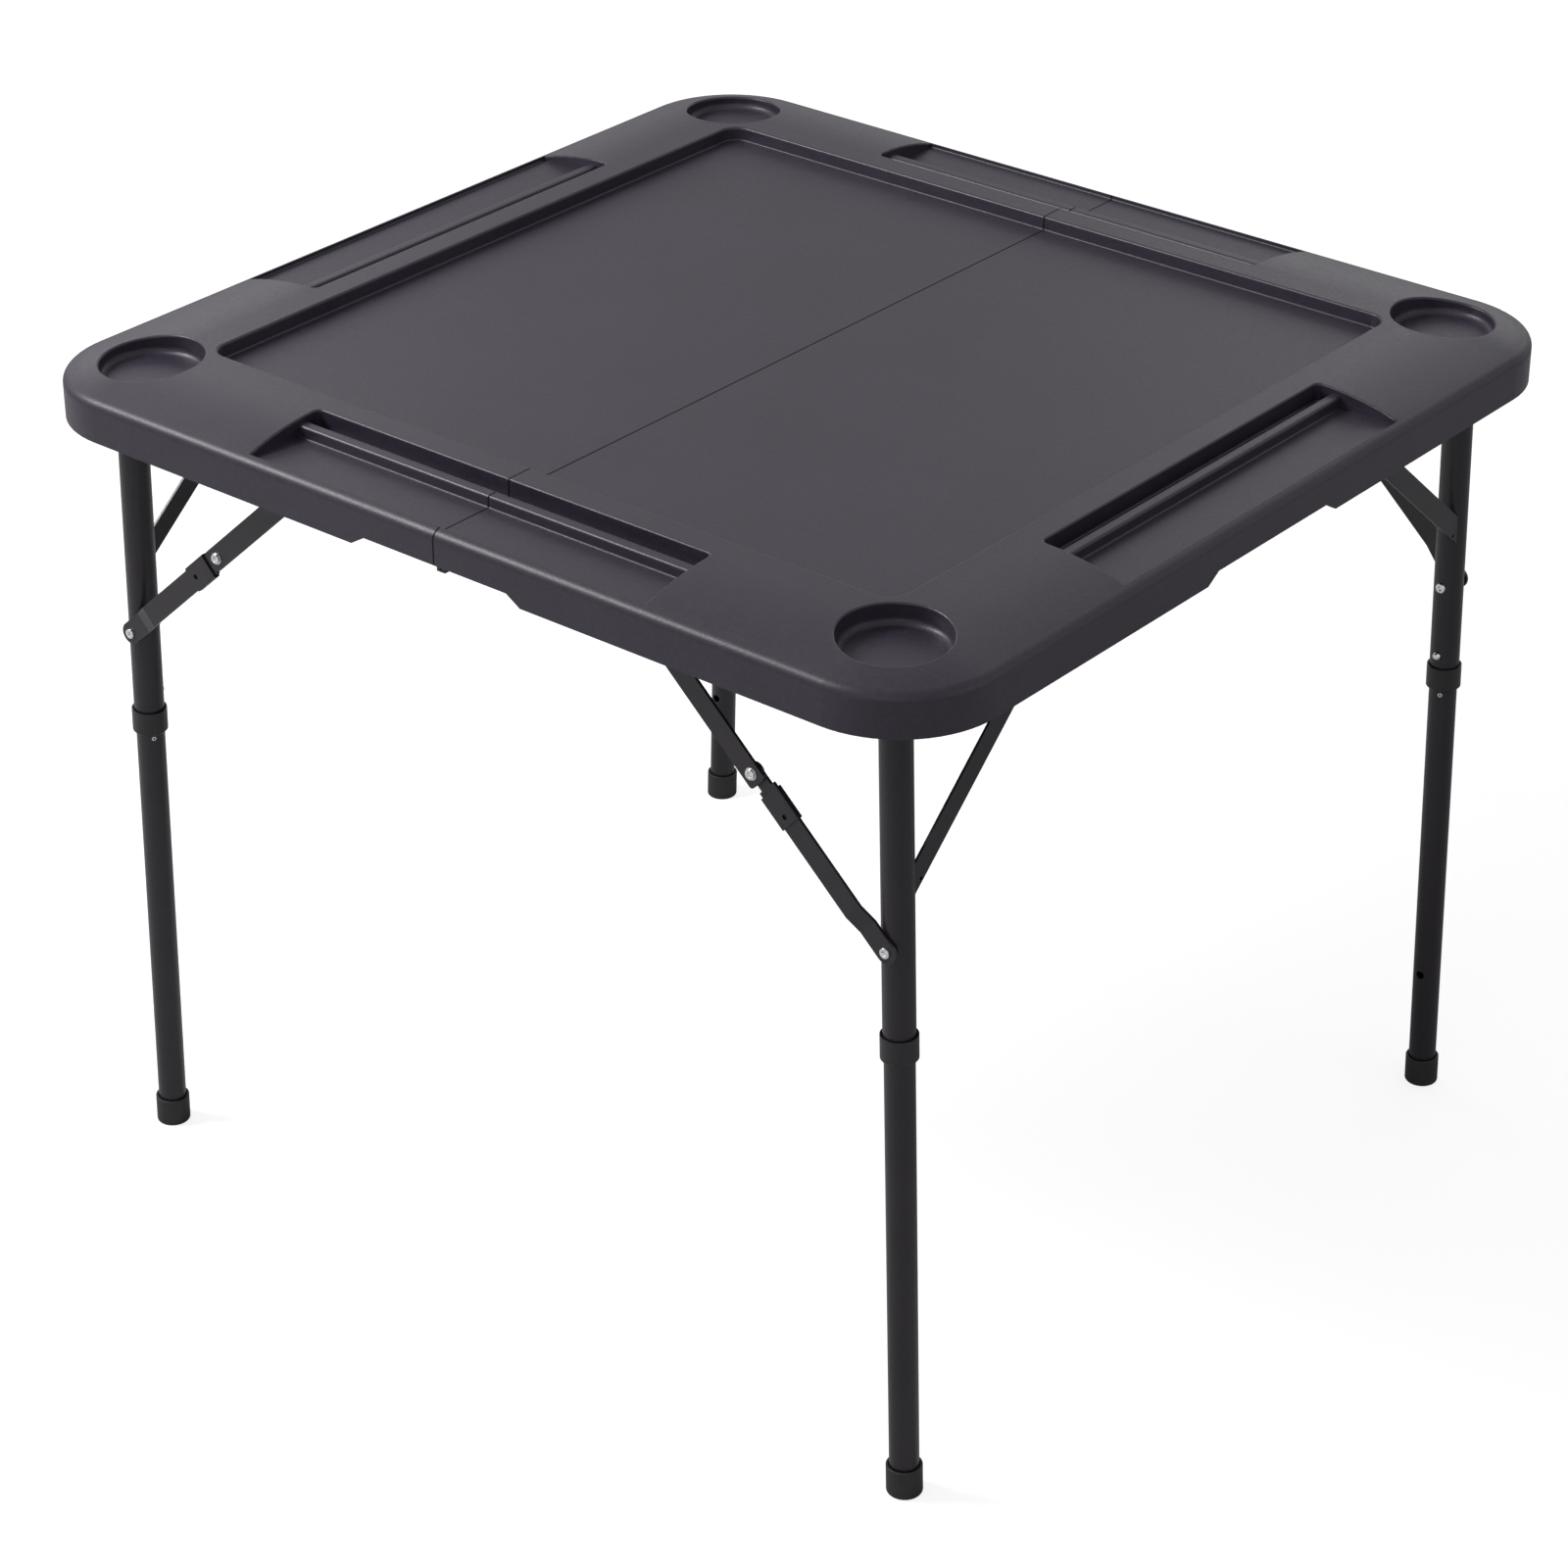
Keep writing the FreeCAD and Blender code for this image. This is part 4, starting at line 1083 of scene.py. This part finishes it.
@dataclass
class Brace(Corner):
    """One folding brace: two bars, a lock sleeve and rolled rivets."""

    rivet: RolledRivet = field(default_factory=RolledRivet)

    def build(self) -> None:
        """Dresses the brace and sets its rivets."""
        self.wardrobe.dress(Slot.PAINT, *(f"{part}_{self.name}" for part in
                                          ("brace_upper_bar", "brace_lower_bar", "lock_sleeve")))
        self.set_rivets()

    def set_rivets(self) -> None:
        """Stands rolled rivets where the plain ones were."""
        node = f"brace_rivets_{self.name}"
        rivet, made = self.rivet, []
        for span in loose_parts(node):
            at = middle(span)
            out, length = max(abs(span[0].y), abs(span[1].y)), abs(span[1].y - span[0].y)
            heads = 2 if length > 2 * rivet.head_height + rivet.roll else 1
            at.y = self.end.sign * (out - rivet.head_height)
            shank = rivet.disc(rivet.shank_radius, length - heads * rivet.head_height, rivet.shank_edge)
            parts = [rivet.head(), shank]
            if heads == 2:
                parts.append(rivet.disc(rivet.washer_radius, rivet.washer_thickness, rivet.washer_edge))
                parts.append(rivet.head())
                parts[-1].data.transform(Matrix.Translation((0, 0, 2 * rivet.head_height - length))
                                         @ Matrix.Rotation(math.pi, 4, "X"))
            for part in parts:
                part.data.transform(Matrix.Translation(at) @ facing((0, self.end.sign, 0)))
            made += parts
        self.wardrobe.fit(join(made, f"rolled_rivets_{self.name}"), Slot.BRIGHT, f"lower_bar_{self.name}", node)


@dataclass
class CarryHandle:
    """The folding handle on the left edge, its brackets and pins."""

    wardrobe: Wardrobe
    pivot: Vector = field(default_factory=lambda: Vector((-427.0 * MM, 0.0, 669.0 * MM)))
    arm_offset: float = 56.0 * MM
    arm_length: float = 30.0 * MM
    arm_end: float = 8.0 * MM
    arm_waist: float = 4.8 * MM
    arm_steps: int = 10
    thickness: float = 5.0 * MM
    hub_radius: float = 4.4 * MM
    bore_radius: float = 2.1 * MM
    grip_reach: float = 74.0 * MM
    grip_width: float = 9.0 * MM
    grip_bow: float = 7.0 * MM
    grip_steps: int = 28
    rim: float = 1.5 * MM
    channel: float = 0.9 * MM
    edge_round: float = 0.45 * MM
    round_angle: float = math.radians(40.0)
    hub_sides: int = 48

    def build(self) -> None:
        """Dresses the fittings and models the handle."""
        self.wardrobe.dress(Slot.PLASTIC, "handle_brackets")
        self.wardrobe.dress(Slot.BRIGHT, "handle_pins")
        handle = self.grip()
        for end in End:
            cut(handle, self.arm(end), "UNION")
            cut(handle, self.hub(end), "UNION")
            eye, half = self.eye(end), Vector((0, self.arm_end, 0))
            cut(handle, cylinder("bore", self.bore_radius, eye - half, eye + half))
        handle.name = handle.data.name = "moulded_handle"
        self.wardrobe.fit(settle(handle, MOULDED), Slot.PLASTIC, "handle", "carry_handle")

    def eye(self, end: End) -> Vector:
        """The middle of the eye at one end."""
        return self.pivot + Vector((0, end.sign * self.arm_offset, 0))

    def hollow(self, piece: Piece, inside: Test) -> None:
        """Sinks a channel inside a raised rim into the front and the back of a piece.

        Args:
            piece: The piece being edited.
            inside: A test of the faces that may sink.
        """
        for way in (-1, 1):
            pick(piece, lambda at, normal: normal.x * way > FACES and inside(at, normal))
            bpy.ops.mesh.inset(thickness=self.rim, use_even_offset=True, use_boundary=True)
            extrude((-way * self.channel, 0, 0))

    def soften(self, piece: Piece) -> Piece:
        """Rounds the edges of a moulded piece, and settles it."""
        apply_modifier(piece, "BEVEL", width=self.edge_round, segments=3, limit_method="ANGLE",
                       angle_limit=self.round_angle)
        return settle(piece, MOULDED)

    def grip(self) -> Piece:
        """Models the bowed grip: a strip grown along its curve, with a channel on both faces.

        Returns:
            The grip.
        """
        low = self.pivot + Vector((-self.thickness / 2, -self.grip_reach, -self.arm_length - self.grip_width))
        step = 2 * self.grip_reach / self.grip_steps
        drops = [-self.grip_bow * (1 - (1 - 2 * number / self.grip_steps) ** 2)
                 for number in range(self.grip_steps + 1)]
        piece = box("grip", low, low + Vector((self.thickness, step, self.grip_width)))
        with editing(piece):
            pick(piece, lambda at, normal: normal.y > FACES)
            bpy.ops.transform.translate(value=(0, 0, drops[1]))
            grow(piece, [(Vector((0, step, after - before)), (1.0, 1.0, 1.0))
                         for before, after in zip(drops[1:], drops[2:])])
            self.hollow(piece, lambda at, normal: abs(at.y) < self.arm_offset - self.arm_end)
        return self.soften(piece)

    def arm(self, end: End) -> Piece:
        """Models one arm, narrow at its waist and flared at both ends.

        Args:
            end: Which arm.

        Returns:
            The arm.
        """
        centre = self.eye(end)
        step = (self.arm_length + self.grip_width / 2) / self.arm_steps
        half = Vector((self.thickness / 2, self.arm_end / 2, 0))
        piece = box("arm", centre - half - Vector((0, 0, step)), centre + half)
        widths = [self.arm_waist + (self.arm_end - self.arm_waist) * abs(1 - 2 * number / self.arm_steps) ** 2
                  for number in range(self.arm_steps + 1)]
        with editing(piece):
            pick(piece, lambda at, normal: normal.z < -FACES)
            bpy.ops.transform.resize(value=(1.0, widths[1] / widths[0], 1.0),
                                     center_override=centre - Vector((0, 0, step)))
            grow(piece, [(Vector((0, 0, -step)), (1.0, after / before, 1.0))
                         for before, after in zip(widths[1:], widths[2:])])
            self.hollow(piece, lambda at, normal: centre.z - self.arm_length + 2 * self.rim < at.z
                        < centre.z - self.hub_radius)
        return self.soften(piece)

    def hub(self, end: End) -> Piece:
        """Models the eye round the pin."""
        eye, half = self.eye(end), Vector((0, self.arm_end / 2, 0))
        return self.soften(cylinder("hub", self.hub_radius, eye - half, eye + half, self.hub_sides))


@dataclass(frozen=True)
class Softbox:
    """One large soft lamp."""

    name: str
    place: Axes
    size: Range
    power: float

    def build(self, target: Vector) -> None:
        """Hangs the lamp and aims it.

        Args:
            target: Where it points.
        """
        bpy.ops.object.light_add(type="AREA", location=self.place)
        lamp = bpy.context.object
        lamp.name = self.name
        lamp.data.shape = "RECTANGLE"
        lamp.data.size, lamp.data.size_y = self.size
        lamp.data.energy = self.power
        lamp.rotation_euler = (target - lamp.location).to_track_quat("-Z", "Y").to_euler()
        log.info("hung %s", self.name)


@dataclass
class Studio:
    """A plain pale floor, soft lamps, a white surround and the camera."""

    floor_size: float = 16.0
    floor_colour: Colour = (0.62, 0.62, 0.62)
    floor_seen: Colour = (0.42, 0.42, 0.42)
    floor_glow: float = 0.80
    surround: float = 0.38
    surround_gloss: float = 0.20
    camera_place: Axes = (1.9448, -2.3953, 2.0482)
    camera_back: Axes = (0.5525, -0.6736, 0.4910)
    lens: float = 98.70
    sensor: float = 36.0
    target: Vector = field(default_factory=lambda: Vector((0.0, 0.0, 0.6)))
    lamps: tuple[Softbox, ...] = (
        Softbox("key_softbox", (-1.7, -1.35, 2.4), (1.0, 1.0), 62.0),
        Softbox("front_fill", (1.6, -3.2, 1.7), (2.2, 1.6), 7.0),
        Softbox("right_fill", (3.2, 0.8, 1.6), (1.6, 1.6), 4.0),
        Softbox("back_fill", (-0.6, 3.4, 2.0), (2.4, 1.4), 8.0),
        Softbox("left_sheen", (-3.1, 1.3, 2.1), (1.8, 1.4), 7.5),
    )

    def build(self) -> None:
        """Builds the whole studio."""
        self.lay_floor()
        self.light_world()
        for lamp in self.lamps:
            lamp.build(self.target)
        self.place_camera()

    def lay_floor(self) -> None:
        """Lays the floor, white to the camera wherever nothing shades it."""
        bpy.ops.mesh.primitive_plane_add(size=self.floor_size)
        floor = new_piece("studio_floor")
        material = bpy.data.materials.new("studio_floor")
        material.use_nodes = True
        wire = Wiring(material.node_tree)
        nodes = material.node_tree.nodes
        nodes.remove(nodes["Principled BSDF"])
        path = wire.add("LightPath")
        plain = wire.add("BsdfDiffuse", {"Color": self.floor_colour})
        shaded = wire.add("BsdfDiffuse", {"Color": self.floor_seen})
        glow = wire.add("Emission", {"Color": (1.0, 1.0, 1.0), "Strength": self.floor_glow})
        white = wire.add("AddShader", {0: shaded.outputs[0], 1: glow.outputs[0]})
        both = wire.add("MixShader", {0: path.outputs["Is Camera Ray"], 1: plain.outputs[0], 2: white.outputs[0]})
        wire.feed(nodes["Material Output"].inputs["Surface"], both.outputs[0])
        floor.data.materials.append(material)
        log.info("laid the floor")

    def light_world(self) -> None:
        """Makes the surround white to the camera, paler to reflections, and a plain soft light otherwise."""
        world = bpy.data.worlds.new("studio_surround")
        bpy.context.scene.world = world
        world.use_nodes = True
        wire = Wiring(world.node_tree)
        path = wire.add("LightPath")
        strength = wire.sum("MULTIPLY_ADD", path.outputs["Is Glossy Ray"], self.surround_gloss, self.surround)
        strength = wire.sum("MAXIMUM", strength, path.outputs["Is Camera Ray"])
        back = world.node_tree.nodes["Background"]
        wire.feed(back.inputs["Color"], (1.0, 1.0, 1.0))
        wire.feed(back.inputs["Strength"], strength)
        log.info("lit the surround")

    def place_camera(self) -> None:
        """Stands the camera where the photograph was taken from."""
        bpy.ops.object.camera_add(location=self.camera_place)
        camera = bpy.context.object
        camera.name = "photo_camera"
        camera.data.lens = self.lens
        camera.data.sensor_width = self.sensor
        camera.rotation_euler = (-Vector(self.camera_back)).to_track_quat("-Z", "Y").to_euler()
        bpy.context.scene.camera = camera
        bpy.context.scene.view_settings.view_transform = "Standard"
        log.info("placed the camera")


def main() -> None:
    """Builds the studio and the table in order."""
    logging.basicConfig(level=logging.INFO, format="%(message)s")
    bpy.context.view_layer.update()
    Studio().build()
    wardrobe = Wardrobe()
    TableTop(wardrobe).build()
    for side in Side:
        LegFrame(wardrobe, side).build()
        for end in End:
            Leg(wardrobe, side, end).build()
            Brace(wardrobe, side, end).build()
    CarryHandle(wardrobe).build()


if __name__ == "__main__":
    main()
